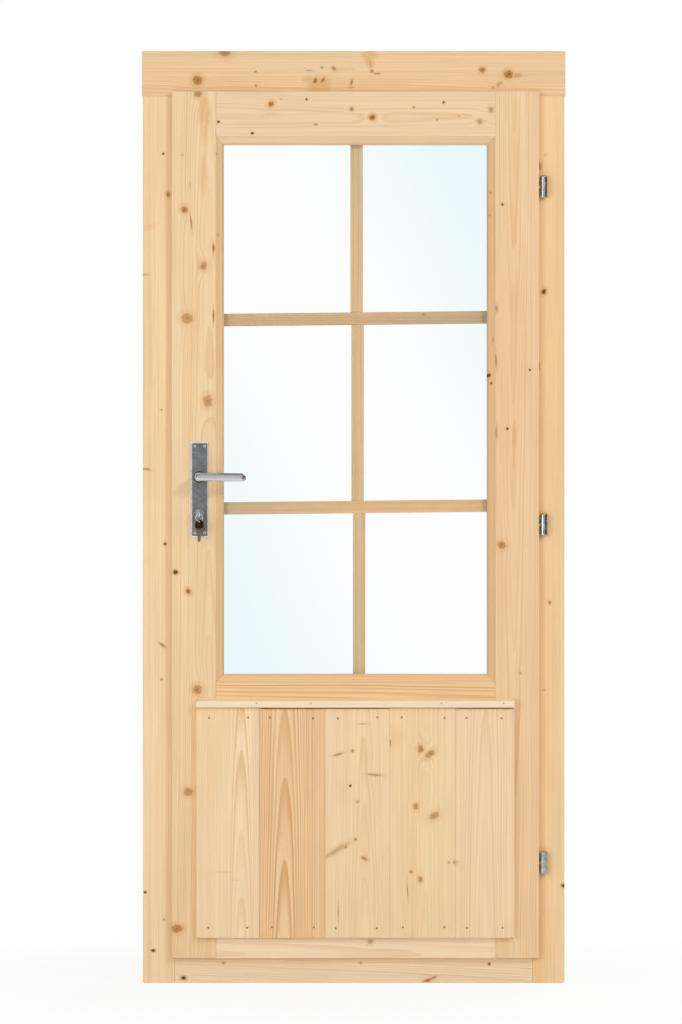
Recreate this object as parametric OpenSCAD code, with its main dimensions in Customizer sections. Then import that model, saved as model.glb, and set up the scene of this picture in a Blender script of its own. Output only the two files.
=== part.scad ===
// Half-glazed pine door of a log cabin, hung in its own frame.
// Millimetres. X runs along the wall, -Y faces outdoors, +Z is up.
// The origin is the middle of the frame's underside.

/* [Frame] */
// Width over the ends of the head
frame_w = 850; // [760:1:1000]
// Height from the floor to the top of the head
frame_h = 1870; // [1760:1:2100]
// Depth of the frame through the wall
frame_depth = 84; // [76:1:110]
// Height of the head
head_h = 90; // [70:1:120]
// How far the head passes each jamb
head_overhang = 2; // [0:0.5:8]
// Face width of a jamb
jamb_w = 64; // [56:1:80]
// Height of the threshold
threshold_h = 60; // [45:1:75]
// Chamfer on the inner top edge of the threshold
threshold_chamfer = 8; // [3:0.5:14]
// Width of the groove that takes the wall logs
groove_w = 42; // [30:1:52]
// Depth of the groove that takes the wall logs
groove_depth = 22; // [12:1:26]

/* [Leaf] */
// Thickness of the leaf
leaf_t = 42; // [38:1:50]
// Thickness of the lip that laps the frame
lip_t = 13; // [11:0.5:16]
// Lap of the lip on the latch jamb
lap_latch = 5.5; // [3:0.5:10]
// Lap of the lip on the hinge jamb
lap_hinge = 12.5; // [8:0.5:16]
// Lap of the lip on the head
lap_top = 8; // [4:0.5:14]
// Lap of the lip on the threshold
lap_bottom = 9; // [4:0.5:14]
// Gap between the leaf body and the frame
body_gap = 3.5; // [2:0.5:5]
// Face width of a stile, lip included
stile_w = 88; // [84:0.5:110]
// Height of the top rail, lip included
top_rail_h = 90.5; // [70:0.5:120]
// Height of the middle rail
mid_rail_h = 110; // [90:1:140]
// Height of the bottom rail, lip included
bottom_rail_h = 110; // [90:1:140]
// Height of the lower edge of the glazed opening
sill_z = 604; // [540:1:700]
// Length of a tenon
tenon_l = 50; // [30:1:60]
// Thickness of a tenon
tenon_t = 12; // [8:0.5:14]
// Shoulder above and below a tenon
tenon_shoulder = 14; // [8:1:24]

/* [Glazing] */
// Thickness of the glass
glass_t = 4; // [3:0.5:6]
// Ledge behind the glass
ledge_w = 10; // [6:0.5:14]
// Gap between the edge of the glass and the wood
glass_gap = 1.5; // [0.5:0.25:3]
// Face width of a glazing bead
bead_w = 16.5; // [12:0.5:22]
// Depth of a glazing bead
bead_t = 14; // [10:0.5:18]
// How far a bead lies behind the face of the leaf
bead_set = 1; // [0:0.5:3]
// Bevel on the sight edge of a bead
bead_bevel = 4; // [1:0.5:8]
// Face width of a glazing bar
bar_w = 25; // [18:0.5:32]
// Depth of a glazing bar
bar_t = 14; // [8:0.5:16]
// Fall of the cross bars towards the latch side, in degrees
bar_tilt = 0.6; // [0:0.1:1.2]
// Height of the upper cross bar
upper_bar_z = 1333.5; // [1260:0.5:1420]
// Height of the lower cross bar
lower_bar_z = 955; // [880:0.5:1030]

/* [Panel] */
// Thickness of a panel board
board_t = 12; // [10:0.5:18]
// Lap of the panel on each stile
panel_lap = 38.5; // [30:0.5:60]
// Height of the lower edge of the panel
panel_z0 = 93; // [80:1:120]
// Height of the upper edge of the panel
panel_z1 = 553; // [520:1:556]
// Length of a board's tongue
tongue_l = 6; // [4:0.5:9]
// Thickness of a board's tongue
tongue_t = 4; // [3:0.25:5]
// Chamfer along a board's face edges
board_chamfer = 0.8; // [0.4:0.1:1.6]
// Height of the drip strip
drip_h = 17; // [12:0.5:22]
// Projection of the drip strip
drip_t = 20; // [16:0.5:28]
// Gap between the drip strip and the panel
drip_gap = 1; // [0.5:0.5:4]
// Diameter of a nail head
nail_head_d = 4; // [3:0.25:6]
// Diameter of a nail shank
nail_d = 2.2; // [1.6:0.1:2.8]
// Depth that a nail bites into the leaf
nail_bite = 20; // [12:1:22]

/* [Hinges] */
// Diameter of a hinge barrel
barrel_d = 15; // [12:0.5:18]
// Height of one hinge knuckle
knuckle_h = 15; // [11:0.5:20]
// Diameter of a hinge pin
hinge_pin_d = 7; // [5:0.5:8]
// Diameter of a hinge shank
shank_d = 7; // [5:0.5:7.5]
// Length of a shank in the wood
shank_l = 40; // [25:1:48]
// Distance of the outer hinges from the ends of the leaf
hinge_inset = 191; // [120:1:260]
// Gap between a barrel and the edge of the leaf
hinge_side_gap = 2; // [1:0.25:4]
// Gap between a barrel and the face of the frame
hinge_face_gap = 0.8; // [0.5:0.1:2]

/* [Lock] */
// Height of the lever axis
lever_z = 1015; // [980:1:1060]
// Distance from the lever axis down to the cylinder axis
lock_spacing = 72; // [70:1:92]
// Distance from the edge of the leaf body to the lever axis
backset = 47; // [44:0.5:50]
// Thickness of the lock case
case_t = 14; // [13:0.5:15]
// Wall of the lock case
case_wall = 1.5; // [1:0.1:1.6]
// Width of the lock faceplate and the strike plate
faceplate_w = 20; // [18:0.5:22]
// Length of the lock faceplate
faceplate_h = 206; // [190:1:230]
// Thickness of the lock faceplate
faceplate_t = 3; // [2:0.25:4]
// Throw of the latch bolt
latch_throw = 11; // [9:0.5:11]
// Throw of the deadbolt
deadbolt_throw = 20; // [14:1:22]
// Length of the strike plate
strike_h = 150; // [140:1:180]
// Thickness of the strike plate
strike_t = 2; // [1.5:0.25:3]

/* [Handle] */
// Width of a backplate
plate_w = 34; // [32:0.5:42]
// Length of a backplate
plate_h = 191; // [186:1:230]
// Thickness of a backplate
plate_t = 3; // [2:0.25:4]
// Bevel round the face of a backplate
plate_bevel = 1; // [0.5:0.25:1.5]
// Diameter of the collar round a lever
collar_d = 23; // [20:0.5:26]
// Height of the collar round a lever
collar_h = 3; // [2:0.25:5]
// Distance from a backplate to the front of its lever
lever_reach = 50; // [44:1:60]
// Length of a lever from its axis to its tip
lever_len = 90.5; // [80:0.5:120]
// Height of a lever at its axis
lever_h = 17; // [16:0.5:22]
// Height of a lever at its tip
lever_tip_h = 15.5; // [14:0.5:26]
// Thickness of a lever
lever_t = 13; // [11:0.5:15]
// Width of the square spindle
spindle_w = 8; // [7:0.5:9]

/* [Key] */
// Diameter of the lock cylinder
cylinder_d = 17; // [16:0.25:18]
// Diameter of the cylinder plug
plug_d = 13; // [12:0.25:13.5]
// Projection of the cylinder past a backplate
cylinder_proud = 2.5; // [1:0.5:4]
// Diameter of a key's bow
bow_d = 22; // [20:0.5:24]
// Thickness of a key
key_t = 2.2; // [1.6:0.1:2.4]
// Length of a key's blade
blade_l = 23; // [18:0.5:23]
// Width of a key's blade
blade_w = 8; // [6:0.25:8.5]
// Diameter of the key ring at the middle of its wire
ring_d = 14; // [13:0.5:16]
// Diameter of the key ring's wire
ring_wire_d = 1.6; // [1.2:0.1:1.8]

/* [Hidden] */
$fn = 48;

// Clearances
seat = 0.3;
fit = 0.15;
running = 0.05;
drill = 0.05;

// Frame
jamb_out = frame_w / 2 - head_overhang;
jamb_in = jamb_out - jamb_w;
head_z = frame_h - head_h;
face_y = -frame_depth / 2;
frame_screw_d = 3.8;
frame_screw_head_d = 8;
frame_screw_head_l = 5;
frame_screw_bite = 40;
frame_screw_y = groove_w / 4;
groove_x = jamb_out - groove_depth;
groove_z = frame_h - groove_depth;
head_screw_x = (jamb_in + groove_x) / 2;
// Wear on the outer lower corner of the hinge jamb
worn_r = 4;

// Leaf
leaf_x0 = -jamb_in - lap_latch;
leaf_x1 = jamb_in + lap_hinge;
leaf_z0 = threshold_h - lap_bottom;
leaf_z1 = head_z + lap_top;
body_x0 = -jamb_in + body_gap;
body_x1 = jamb_in - body_gap;
body_z0 = threshold_h + body_gap;
body_z1 = head_z - body_gap;
lip_back_y = face_y - seat;
leaf_front_y = lip_back_y - lip_t;
leaf_back_y = leaf_front_y + leaf_t;
open_x0 = leaf_x0 + stile_w;
open_x1 = leaf_x1 - stile_w;
top_rail_z = leaf_z1 - top_rail_h;
mid_rail_z = sill_z - mid_rail_h;
bottom_rail_z = leaf_z0 + bottom_rail_h;
opening_w = open_x1 - open_x0;
opening_h = top_rail_z - sill_z;

// Glazing
bead_front_y = leaf_front_y + bead_set;
glass_y0 = bead_front_y + bead_t;
glass_y1 = glass_y0 + glass_t;
bar_y1 = glass_y1 + bar_t;
sight_x0 = open_x0 + ledge_w;
sight_x1 = open_x1 - ledge_w;
sight_z0 = sill_z + ledge_w;
sight_z1 = top_rail_z - ledge_w;
sight_x = (sight_x0 + sight_x1) / 2;
tenon_y = (glass_y1 + leaf_back_y) / 2;
pin_d = 1.4;
pin_l = bead_w + 10;
pin_y = glass_y0 - bead_t / 3;
pin_inset = 60;
pin_pitch = 240;
// Places of the upright bars from the middle of the opening, top to bottom
upright_shift = [2.5, 4.5, 7.5];

// Panel
panel_x0 = open_x0 - panel_lap;
panel_x1 = open_x1 + panel_lap;
panel_y0 = leaf_front_y - board_t;
drip_z0 = panel_z1 + drip_gap;
drip_y0 = leaf_front_y - drip_t;
// Widths of the boards as sawn, left to right, fitted to the panel's width
sawn_w = [126, 132, 130, 131, 119];
boards = len(sawn_w);
// How far each board stops short of the panel's upper edge
board_short = [0, 2.2, 1.8, 0.3, 2];
function sum_to(list, n) = n == 0 ? 0 : list[n - 1] + sum_to(list, n - 1);
function board_x(n) = panel_x0 + (panel_x1 - panel_x0) * sum_to(sawn_w, n) / sum_to(sawn_w, boards);
nail_head_l = 1.2;
nail_inset = 24;
nail_row_inset = 20;
// Hand-driven nails stray a little from their line
function stray(n) = 2.5 * sin(137 * n);
// Places of the drip strip's nails as shares of its length
drip_nails = [0.19, 0.36, 0.77, 0.965];

// Hinges
hinge_x = leaf_x1 + hinge_side_gap + barrel_d / 2;
hinge_y = face_y - hinge_face_gap - barrel_d / 2;
hinge_z = [leaf_z1 - hinge_inset, (leaf_z0 + leaf_z1) / 2, leaf_z0 + hinge_inset];
// Angle of the leaf shank into the lip
leaf_shank_angle = 6;
barrel_round = 3;

// Lock
lock_x = body_x0 + backset;
lock_y = (lip_back_y + leaf_back_y) / 2;
cylinder_z = lever_z - lock_spacing;
lock_mid_z = (lever_z + cylinder_z) / 2;
// The strike plate sits a little above the middle of the lock
strike_rise = 14;
strike_z0 = lock_mid_z + strike_rise - strike_h / 2;
// Room round a bolt in the jamb, and past its end
pocket_room = 1;
pocket_end = 3;
// Width of the follower's arm, its free play, and the latch lug that it pushes
arm_w = 6;
arm_play = 1.5;
lug_x = lock_x + arm_w / 2 + arm_play;
lug_w = 5;
case_x0 = body_x0 + faceplate_t;
case_end_room = 1.5;
case_x1 = lug_x + lug_w + latch_throw + case_end_room + case_wall;
case_low = 32;
case_high = 40;
case_z0 = cylinder_z - case_low;
case_z1 = lever_z + case_high;
// The faceplate runs past both ends of the case, with a screw in each ear
faceplate_z = (case_z0 + case_z1) / 2;
faceplate_ear = (faceplate_h - (case_z1 - case_z0)) / 2;
faceplate_screw_z = faceplate_h / 2 - 0.4 * faceplate_ear;
case_y0 = lock_y - case_t / 2;
case_y1 = lock_y + case_t / 2;
bolt_t = case_t - 2 * case_wall - 1;
mortise_room = 0.8;
latch_z = lever_z + 22;
latch_h = 16;
latch_l = 17;
// Latch tail above the follower, and the lug that the follower's arm pushes
tail_z0 = lever_z + 16;
tail_z1 = lever_z + 24;
lug_z0 = lever_z + 13.3;
deadbolt_z0 = cylinder_z + 19;
deadbolt_z1 = lever_z - 31;
deadbolt_x1 = case_x1 - 10;
// Notch in the deadbolt over the cam
notch_x0 = lock_x - 12;
notch_x1 = lock_x + 6;
notch_h = 4;
hub_d = 16;
flange_d = 20;
arm_r = 19;
arm_t = 3.6;
tail_t = 4;
tail_gap = 0.35;
plate_screw_d = 3.5;
plate_screw_head_d = 6.5;
// Plate screws stop short of the lock case
plate_screw_room = 1;
plate_screw_l = plate_t + leaf_back_y - case_y1 - plate_screw_room;
plate_screw_x = 9.8;
plate_screw_inset = 8.5;
plate_screw_z = plate_h / 2 - plate_screw_inset;
plate_rise = 11;
plate_z = lock_mid_z + plate_rise;
edge_screw_d = 3.5;
edge_screw_head_d = 6.5;
edge_screw_l = 22;
edge_screw_inset = 10;
cylinder_screw_d = 5;
cylinder_screw_head_d = 8;
cylinder_screw_z = cylinder_z - 20;

// Handle
outer_plate_y = leaf_front_y - plate_t;
inner_plate_y = leaf_back_y + plate_t;
neck_d = 18;
socket_l = 28;
grub_d = 4;
// How far the round end of a grip lies past the axis
grip_set = 2;
// Steps of a grip's rounded edges: depth from the face, then distance from the side
grip_edge = [[0, 4], [1.2, 1.5], [3.5, 0]];
grub_y = collar_h + 10;

// Key
web_r = 15.5;
cam_r = 15;
cam_t = 9.4;
cam_w = 6;
tail_r = 5;
tail_z = 19.5;
plug_proud = 0.5;
keyway_l = blade_l + 1;
bow_gap = 1.5;
keyway_y = outer_plate_y - cylinder_proud - plug_proud - bow_gap + keyway_l;
bow_hole_d = 6.5;
bow_hole_off = 6;
bow_y = outer_plate_y - cylinder_proud - plug_proud - bow_gap - bow_d / 2;
ring_y = bow_y - bow_hole_off;
ring_z = cylinder_z - bow_hole_d / 2 + seat + ring_wire_d / 2 - ring_d / 2;
spare_hole_z = ring_z - ring_d / 2 + ring_wire_d / 2 + 2 * seat - bow_hole_d / 2;
spare_yaw = 45;

pine = [0.93, 0.80, 0.61];
pale_pine = [0.95, 0.84, 0.67];
dull_pine = [0.80, 0.67, 0.48];
steel = [0.47, 0.49, 0.50];
satin = [0.74, 0.74, 0.76];
zinc = [0.66, 0.67, 0.68];
brass = [0.72, 0.58, 0.30];
iron = [0.30, 0.27, 0.24];

// Shapes used by many pieces

module block(low, high) {
    translate(low)
        cube(high - low);
}

module rod_x(x0, x1, y, z, d) {
    translate([x0, y, z])
        rotate([0, 90, 0])
            cylinder(d = d, h = x1 - x0);
}

module rod_y(x, y0, y1, z, d) {
    translate([x, y0, z])
        rotate([-90, 0, 0])
            cylinder(d = d, h = y1 - y0);
}

module rod_z(x, y, z0, z1, d) {
    translate([x, y, z0])
        cylinder(d = d, h = z1 - z0);
}

// A flat outline drawn in X and Z, made solid from y0 to y1
module upright_sheet(y0, y1) {
    translate([0, y1, 0])
        rotate([90, 0, 0])
            linear_extrude(y1 - y0)
                children();
}

// Frame

module frame_screw_set(grow) {
    for (side = [-1, 1], y = [-frame_screw_y, frame_screw_y]) {
        mirror([side < 0 ? 1 : 0, 0, 0]) {
            rod_x(jamb_in - frame_screw_bite, groove_x, y, threshold_h / 2, frame_screw_d + grow);
            rod_x(groove_x - frame_screw_head_l, groove_x, y, threshold_h / 2, frame_screw_head_d + grow);
        }
        translate([side * head_screw_x, 0, 0]) {
            rod_z(0, y, head_z - frame_screw_bite, groove_z, frame_screw_d + grow);
            rod_z(0, y, groove_z - frame_screw_head_l, groove_z, frame_screw_head_d + grow);
        }
    }
}

module frame_screws() {
    color(zinc)
        frame_screw_set(0);
}

module jamb_blank() {
    difference() {
        block([jamb_in, face_y, 0], [jamb_out, -face_y, head_z]);
        block([groove_x, -groove_w / 2, -1], [jamb_out + 1, groove_w / 2, head_z + 1]);
        frame_screw_set(2 * drill);
    }
}

module left_jamb() {
    color(pine)
        difference() {
            mirror([1, 0, 0])
                jamb_blank();
            strike_outline(fit);
            strike_pockets();
            strike_screw_set(2 * drill);
        }
}

module right_jamb() {
    color(pine)
        difference() {
            jamb_blank();
            upright_sheet(face_y - 1, -face_y + 1)
                worn_corner();
            for (z = hinge_z)
                frame_shanks(z, 2 * drill);
        }
}

// What is worn off the hinge jamb's foot, seen from the front
module worn_corner() {
    polygon([
        [jamb_out + 1, -1],
        [jamb_out + 1, worn_r],
        [jamb_out, worn_r],
        [jamb_out - 0.3 * worn_r, 0.3 * worn_r],
        [jamb_out - worn_r, 0],
        [jamb_out - worn_r, -1]
    ]);
}

module head() {
    color(pine)
        difference() {
            block([-frame_w / 2, face_y, head_z], [frame_w / 2, -face_y, frame_h]);
            block([-frame_w / 2 - 1, -groove_w / 2, groove_z], [frame_w / 2 + 1, groove_w / 2, frame_h + 1]);
            frame_screw_set(2 * drill);
        }
}

module threshold() {
    color(pine)
        difference() {
            translate([-jamb_in, 0, 0])
                rotate([90, 0, 90])
                    linear_extrude(2 * jamb_in)
                        polygon([
                            [face_y, 0],
                            [-face_y, 0],
                            [-face_y, threshold_h - threshold_chamfer],
                            [-face_y - threshold_chamfer, threshold_h],
                            [face_y, threshold_h]
                        ]);
            frame_screw_set(2 * drill);
        }
}

// Strike plate on the latch jamb

module strike_outline(grow) {
    block(
        [-jamb_in - strike_t, lock_y - faceplate_w / 2 - grow, strike_z0 - grow],
        [-jamb_in, lock_y + faceplate_w / 2 + grow, strike_z0 + strike_h + grow]
    );
}

module strike_pocket(z0, z1, depth) {
    block(
        [-jamb_in - depth, lock_y - bolt_t / 2 - pocket_room, z0 - pocket_room],
        [-jamb_in + 1, lock_y + bolt_t / 2 + pocket_room, z1 + pocket_room]
    );
}

module strike_pockets() {
    strike_pocket(latch_z - latch_h / 2, latch_z + latch_h / 2, latch_throw + pocket_end);
    strike_pocket(deadbolt_z0, deadbolt_z1, deadbolt_throw + pocket_end);
}

module strike_screw_set(grow) {
    for (z = [strike_z0 + edge_screw_inset, strike_z0 + strike_h - edge_screw_inset]) {
        rod_x(-jamb_in - edge_screw_l, -jamb_in, lock_y, z, edge_screw_d + grow);
        rod_x(-jamb_in - strike_t, -jamb_in, lock_y, z, edge_screw_head_d + grow);
    }
}

module strike_plate() {
    color(zinc)
        difference() {
            strike_outline(0);
            strike_pockets();
            strike_screw_set(2 * drill);
        }
}

module strike_screws() {
    color(zinc)
        strike_screw_set(0);
}

// Hinges

// Outer knuckle with a rounded end, above the middle of its hinge
module frame_knuckle() {
    translate([0, 0, knuckle_h / 2 + seat])
        rotate_extrude()
            difference() {
                union() {
                    square([barrel_d / 2, knuckle_h - barrel_round]);
                    square([barrel_d / 2 - barrel_round, knuckle_h]);
                    translate([barrel_d / 2 - barrel_round, knuckle_h - barrel_round])
                        circle(barrel_round);
                }
                translate([-1, -1])
                    square([1 + hinge_pin_d / 2 + drill, knuckle_h + 2]);
            }
}

module frame_shanks(z, grow) {
    for (side = [-1, 1])
        rod_y(
            hinge_x,
            hinge_y + hinge_pin_d / 2 + 1,
            face_y + shank_l + grow,
            z + side * (knuckle_h + seat),
            shank_d + grow
        );
}

module frame_knuckles(z) {
    color(zinc) {
        translate([hinge_x, hinge_y, z]) {
            frame_knuckle();
            mirror([0, 0, 1])
                frame_knuckle();
        }
        frame_shanks(z, 0);
    }
}

module hinge_pin(z) {
    color(zinc)
        rod_z(hinge_x, hinge_y, z - 1.5 * knuckle_h - seat, z + 1.5 * knuckle_h + seat, hinge_pin_d);
}

module leaf_shank(z, grow) {
    translate([hinge_x, hinge_y, z])
        rotate([0, 0, -leaf_shank_angle])
            rod_x(
                -barrel_d / 2 - hinge_side_gap - shank_l - grow,
                -hinge_pin_d / 2 - 1,
                0,
                0,
                shank_d + grow
            );
}

module leaf_knuckle(z) {
    color(zinc) {
        difference() {
            rod_z(hinge_x, hinge_y, z - knuckle_h / 2, z + knuckle_h / 2, barrel_d);
            rod_z(hinge_x, hinge_y, z - knuckle_h, z + knuckle_h, hinge_pin_d + 2 * running);
        }
        leaf_shank(z, 0);
    }
}

module hinge_1_frame_knuckles() { frame_knuckles(hinge_z[0]); }
module hinge_2_frame_knuckles() { frame_knuckles(hinge_z[1]); }
module hinge_3_frame_knuckles() { frame_knuckles(hinge_z[2]); }
module hinge_1_pin() { hinge_pin(hinge_z[0]); }
module hinge_2_pin() { hinge_pin(hinge_z[1]); }
module hinge_3_pin() { hinge_pin(hinge_z[2]); }
module hinge_1_leaf_knuckle() { leaf_knuckle(hinge_z[0]); }
module hinge_2_leaf_knuckle() { leaf_knuckle(hinge_z[1]); }
module hinge_3_leaf_knuckle() { leaf_knuckle(hinge_z[2]); }

// Leaf

// The whole lipped leaf, from which each stile and rail takes its part
module leaf_blank() {
    block([leaf_x0, leaf_front_y, leaf_z0], [leaf_x1, lip_back_y, leaf_z1]);
    block([body_x0, leaf_front_y, body_z0], [body_x1, leaf_back_y, body_z1]);
}

module leaf_member(x0, x1, z0, z1) {
    intersection() {
        leaf_blank();
        block([x0, leaf_front_y - 1, z0], [x1, leaf_back_y + 1, z1]);
    }
}

module tenon_pair(z0, z1, grow) {
    block(
        [open_x0 - tenon_l - grow, tenon_y - tenon_t / 2 - grow, max(z0, body_z0) + tenon_shoulder - grow],
        [open_x1 + tenon_l + grow, tenon_y + tenon_t / 2 + grow, min(z1, body_z1) - tenon_shoulder + grow]
    );
}

module all_tenons(grow) {
    tenon_pair(top_rail_z, leaf_z1, grow);
    tenon_pair(mid_rail_z, sill_z, grow);
    tenon_pair(leaf_z0, bottom_rail_z, grow);
}

module stile_ledge(x0, x1) {
    block([x0, glass_y1, sill_z], [x1, leaf_back_y, top_rail_z]);
}

module left_stile() {
    color(pine)
        difference() {
            union() {
                leaf_member(leaf_x0, open_x0, leaf_z0, leaf_z1);
                stile_ledge(open_x0, sight_x0);
            }
            all_tenons(fit);
            nail_set(2 * drill);
            bead_pin_set(2 * drill);
            lock_mortise();
            plate_screw_set(2 * drill);
        }
}

module right_stile() {
    color(pine)
        difference() {
            union() {
                leaf_member(open_x1, leaf_x1, leaf_z0, leaf_z1);
                stile_ledge(sight_x1, open_x1);
            }
            all_tenons(fit);
            nail_set(2 * drill);
            bead_pin_set(2 * drill);
            for (z = hinge_z)
                leaf_shank(z, 2 * drill);
        }
}

module rail(z0, z1) {
    leaf_member(open_x0, open_x1, z0, z1);
    tenon_pair(z0, z1, 0);
}

module top_rail() {
    color(pine)
        difference() {
            union() {
                rail(top_rail_z, leaf_z1);
                block([sight_x0, glass_y1, sight_z1], [sight_x1, leaf_back_y, top_rail_z]);
            }
            bead_pin_set(2 * drill);
        }
}

module mid_rail() {
    color(pine)
        difference() {
            union() {
                rail(mid_rail_z, sill_z);
                block([sight_x0, glass_y1, sill_z], [sight_x1, leaf_back_y, sight_z0]);
            }
            nail_set(2 * drill);
            bead_pin_set(2 * drill);
        }
}

module bottom_rail() {
    color(pine)
        difference() {
            rail(leaf_z0, bottom_rail_z);
            nail_set(2 * drill);
        }
}

// Glazing

module glass_pane() {
    color([0.80, 0.90, 0.95, 0.4])
        block(
            [open_x0 + glass_gap, glass_y0, sill_z + glass_gap],
            [open_x1 - glass_gap, glass_y1, top_rail_z - glass_gap]
        );
}

// A mitred bead of length l along X, its outer edge on the X axis and its sight edge at +Y
module bead(l) {
    intersection() {
        rotate([90, 0, 90])
            linear_extrude(l)
                polygon([
                    [0, 0],
                    [bead_w - bead_bevel, 0],
                    [bead_w, bead_bevel],
                    [bead_w, bead_t],
                    [0, bead_t]
                ]);
        linear_extrude(bead_t)
            polygon([[0, 0], [l, 0], [l - bead_w, bead_w], [bead_w, bead_w]]);
    }
}

// Puts a bead's corner at x and z, turned by angle seen from the front
module place_bead(x, z, angle) {
    translate([x, bead_front_y, z])
        rotate([0, -angle, 0])
            rotate([90, 0, 0])
                mirror([0, 0, 1])
                    children();
}

module bead_top() {
    color(pine)
        difference() {
            place_bead(open_x1, top_rail_z, 180)
                bead(opening_w);
            bead_pin_set(2 * drill);
        }
}

module bead_bottom() {
    color(pine)
        difference() {
            place_bead(open_x0, sill_z, 0)
                bead(opening_w);
            bead_pin_set(2 * drill);
        }
}

module bead_left() {
    color(pine)
        difference() {
            place_bead(open_x0, top_rail_z, -90)
                bead(opening_h);
            bead_pin_set(2 * drill);
        }
}

module bead_right() {
    color(pine)
        difference() {
            place_bead(open_x1, sill_z, 90)
                bead(opening_h);
            bead_pin_set(2 * drill);
        }
}

// Pins driven through the sight edge of each bead
module bead_pin_set(grow) {
    for (x = [open_x0 + pin_inset : pin_pitch : open_x1 - pin_inset]) {
        rod_z(x, pin_y, sill_z + bead_w - pin_l, sill_z + bead_w, pin_d + grow);
        rod_z(x, pin_y, top_rail_z - bead_w, top_rail_z - bead_w + pin_l, pin_d + grow);
    }
    for (z = [sill_z + pin_inset : pin_pitch : top_rail_z - pin_inset]) {
        rod_x(open_x0 + bead_w - pin_l, open_x0 + bead_w, pin_y, z, pin_d + grow);
        rod_x(open_x1 - bead_w, open_x1 - bead_w + pin_l, pin_y, z, pin_d + grow);
    }
}

module bead_pins() {
    color(iron)
        bead_pin_set(0);
}

// Height of a cross bar's upper (side 1) or lower (side -1) edge at a given x
function bar_edge(z, side, x) = z + (x - sight_x) * tan(bar_tilt) + side * bar_w / 2 / cos(bar_tilt);

module cross_bar(z) {
    color(dull_pine)
        upright_sheet(glass_y1, bar_y1)
            polygon([
                [sight_x0, bar_edge(z, -1, sight_x0)],
                [sight_x1, bar_edge(z, -1, sight_x1)],
                [sight_x1, bar_edge(z, 1, sight_x1)],
                [sight_x0, bar_edge(z, 1, sight_x0)]
            ]);
}

module cross_bar_upper() { cross_bar(upper_bar_z); }
module cross_bar_lower() { cross_bar(lower_bar_z); }

// Upright bar at x, each end given as the heights of its left and right corners
module upright_bar(x0, low, high) {
    color(dull_pine)
        upright_sheet(glass_y1, bar_y1)
            polygon([
                [x0, low[0]],
                [x0 + bar_w, low[1]],
                [x0 + bar_w, high[1]],
                [x0, high[0]]
            ]);
}

function upright_x(n) = sight_x + upright_shift[n] - bar_w / 2;
function bar_end(z, side, x) = bar_edge(z, side, x) + side * drill;
function bar_ends(z, side, n) = [bar_end(z, side, upright_x(n)), bar_end(z, side, upright_x(n) + bar_w)];

module upright_bar_top() {
    upright_bar(upright_x(0), bar_ends(upper_bar_z, 1, 0), [sight_z1, sight_z1]);
}

module upright_bar_middle() {
    upright_bar(upright_x(1), bar_ends(lower_bar_z, 1, 1), bar_ends(upper_bar_z, -1, 1));
}

module upright_bar_bottom() {
    upright_bar(upright_x(2), [sight_z0, sight_z0], bar_ends(lower_bar_z, -1, 2));
}

// Panel

module nail(x, z, y0, grow) {
    rod_y(x, y0, y0 + nail_head_l, z, nail_head_d + grow);
    rod_y(x, y0, leaf_front_y + nail_bite, z, nail_d + grow);
}

module board_nails(n, grow) {
    for (row = [0, 1], end = [0, 1])
        nail(
            end == 0
                ? board_x(n) + nail_inset + stray(n + row)
                : board_x(n + 1) - nail_inset + stray(n + 3 * row),
            row == 0
                ? panel_z0 + nail_row_inset + stray(n) / 2
                : panel_z1 - nail_row_inset + stray(n + end) / 2,
            panel_y0,
            grow
        );
}

module drip_nail_set(grow) {
    for (share = drip_nails)
        nail(panel_x0 + share * (panel_x1 - panel_x0), drip_z0 + drip_h / 2, drip_y0, grow);
}

module nail_set(grow) {
    for (n = [0 : boards - 1])
        board_nails(n, grow);
    drip_nail_set(grow);
}

module panel_nails() {
    color(iron)
        nail_set(0);
}

// Section of one board, seen from above, tongue to the right and groove to the left
module board_section(n) {
    x0 = board_x(n);
    x1 = board_x(n + 1) - fit;
    front = panel_y0 + board_t / 2 - tongue_t / 2;
    back = front + tongue_t;
    tongue = [
        [x1, back],
        [x1 + tongue_l, back],
        [x1 + tongue_l, front],
        [x1, front]
    ];
    groove = [
        [x0, front - fit],
        [x0 + tongue_l + fit, front - fit],
        [x0 + tongue_l + fit, back + fit],
        [x0, back + fit]
    ];
    polygon(concat(
        [[x0, leaf_front_y], [x1, leaf_front_y]],
        n < boards - 1 ? tongue : [],
        [
            [x1, panel_y0 + board_chamfer],
            [x1 - board_chamfer, panel_y0],
            [x0 + board_chamfer, panel_y0],
            [x0, panel_y0 + board_chamfer]
        ],
        n > 0 ? groove : []
    ));
}

module panel_board(n) {
    color(pale_pine)
        difference() {
            translate([0, 0, panel_z0])
                linear_extrude(panel_z1 - board_short[n] - panel_z0)
                    board_section(n);
            board_nails(n, 2 * drill);
        }
}

module panel_board_1() { panel_board(0); }
module panel_board_2() { panel_board(1); }
module panel_board_3() { panel_board(2); }
module panel_board_4() { panel_board(3); }
module panel_board_5() { panel_board(4); }

// Strip with a sloped top and a drip groove beneath
module drip_strip() {
    slope = drip_h / 4;
    groove = drip_t / 6;
    color(pale_pine)
        difference() {
            translate([panel_x0, 0, drip_z0])
                rotate([90, 0, 90])
                    linear_extrude(panel_x1 - panel_x0)
                        polygon([
                            [leaf_front_y, 0],
                            [drip_y0 + 2 * groove, 0],
                            [drip_y0 + 1.5 * groove, groove / 2],
                            [drip_y0 + groove, 0],
                            [drip_y0, 0],
                            [drip_y0, drip_h - slope],
                            [leaf_front_y, drip_h]
                        ]);
            drip_nail_set(2 * drill);
        }
}

// Lock

// Outline of the profile cylinder about its axis, seen from the front
module cylinder_outline(grow) {
    circle(d = cylinder_d + 2 * grow);
    translate([-tail_r - grow, -tail_z])
        square([2 * (tail_r + grow), tail_z]);
    translate([0, -tail_z])
        circle(tail_r + grow);
}

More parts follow.
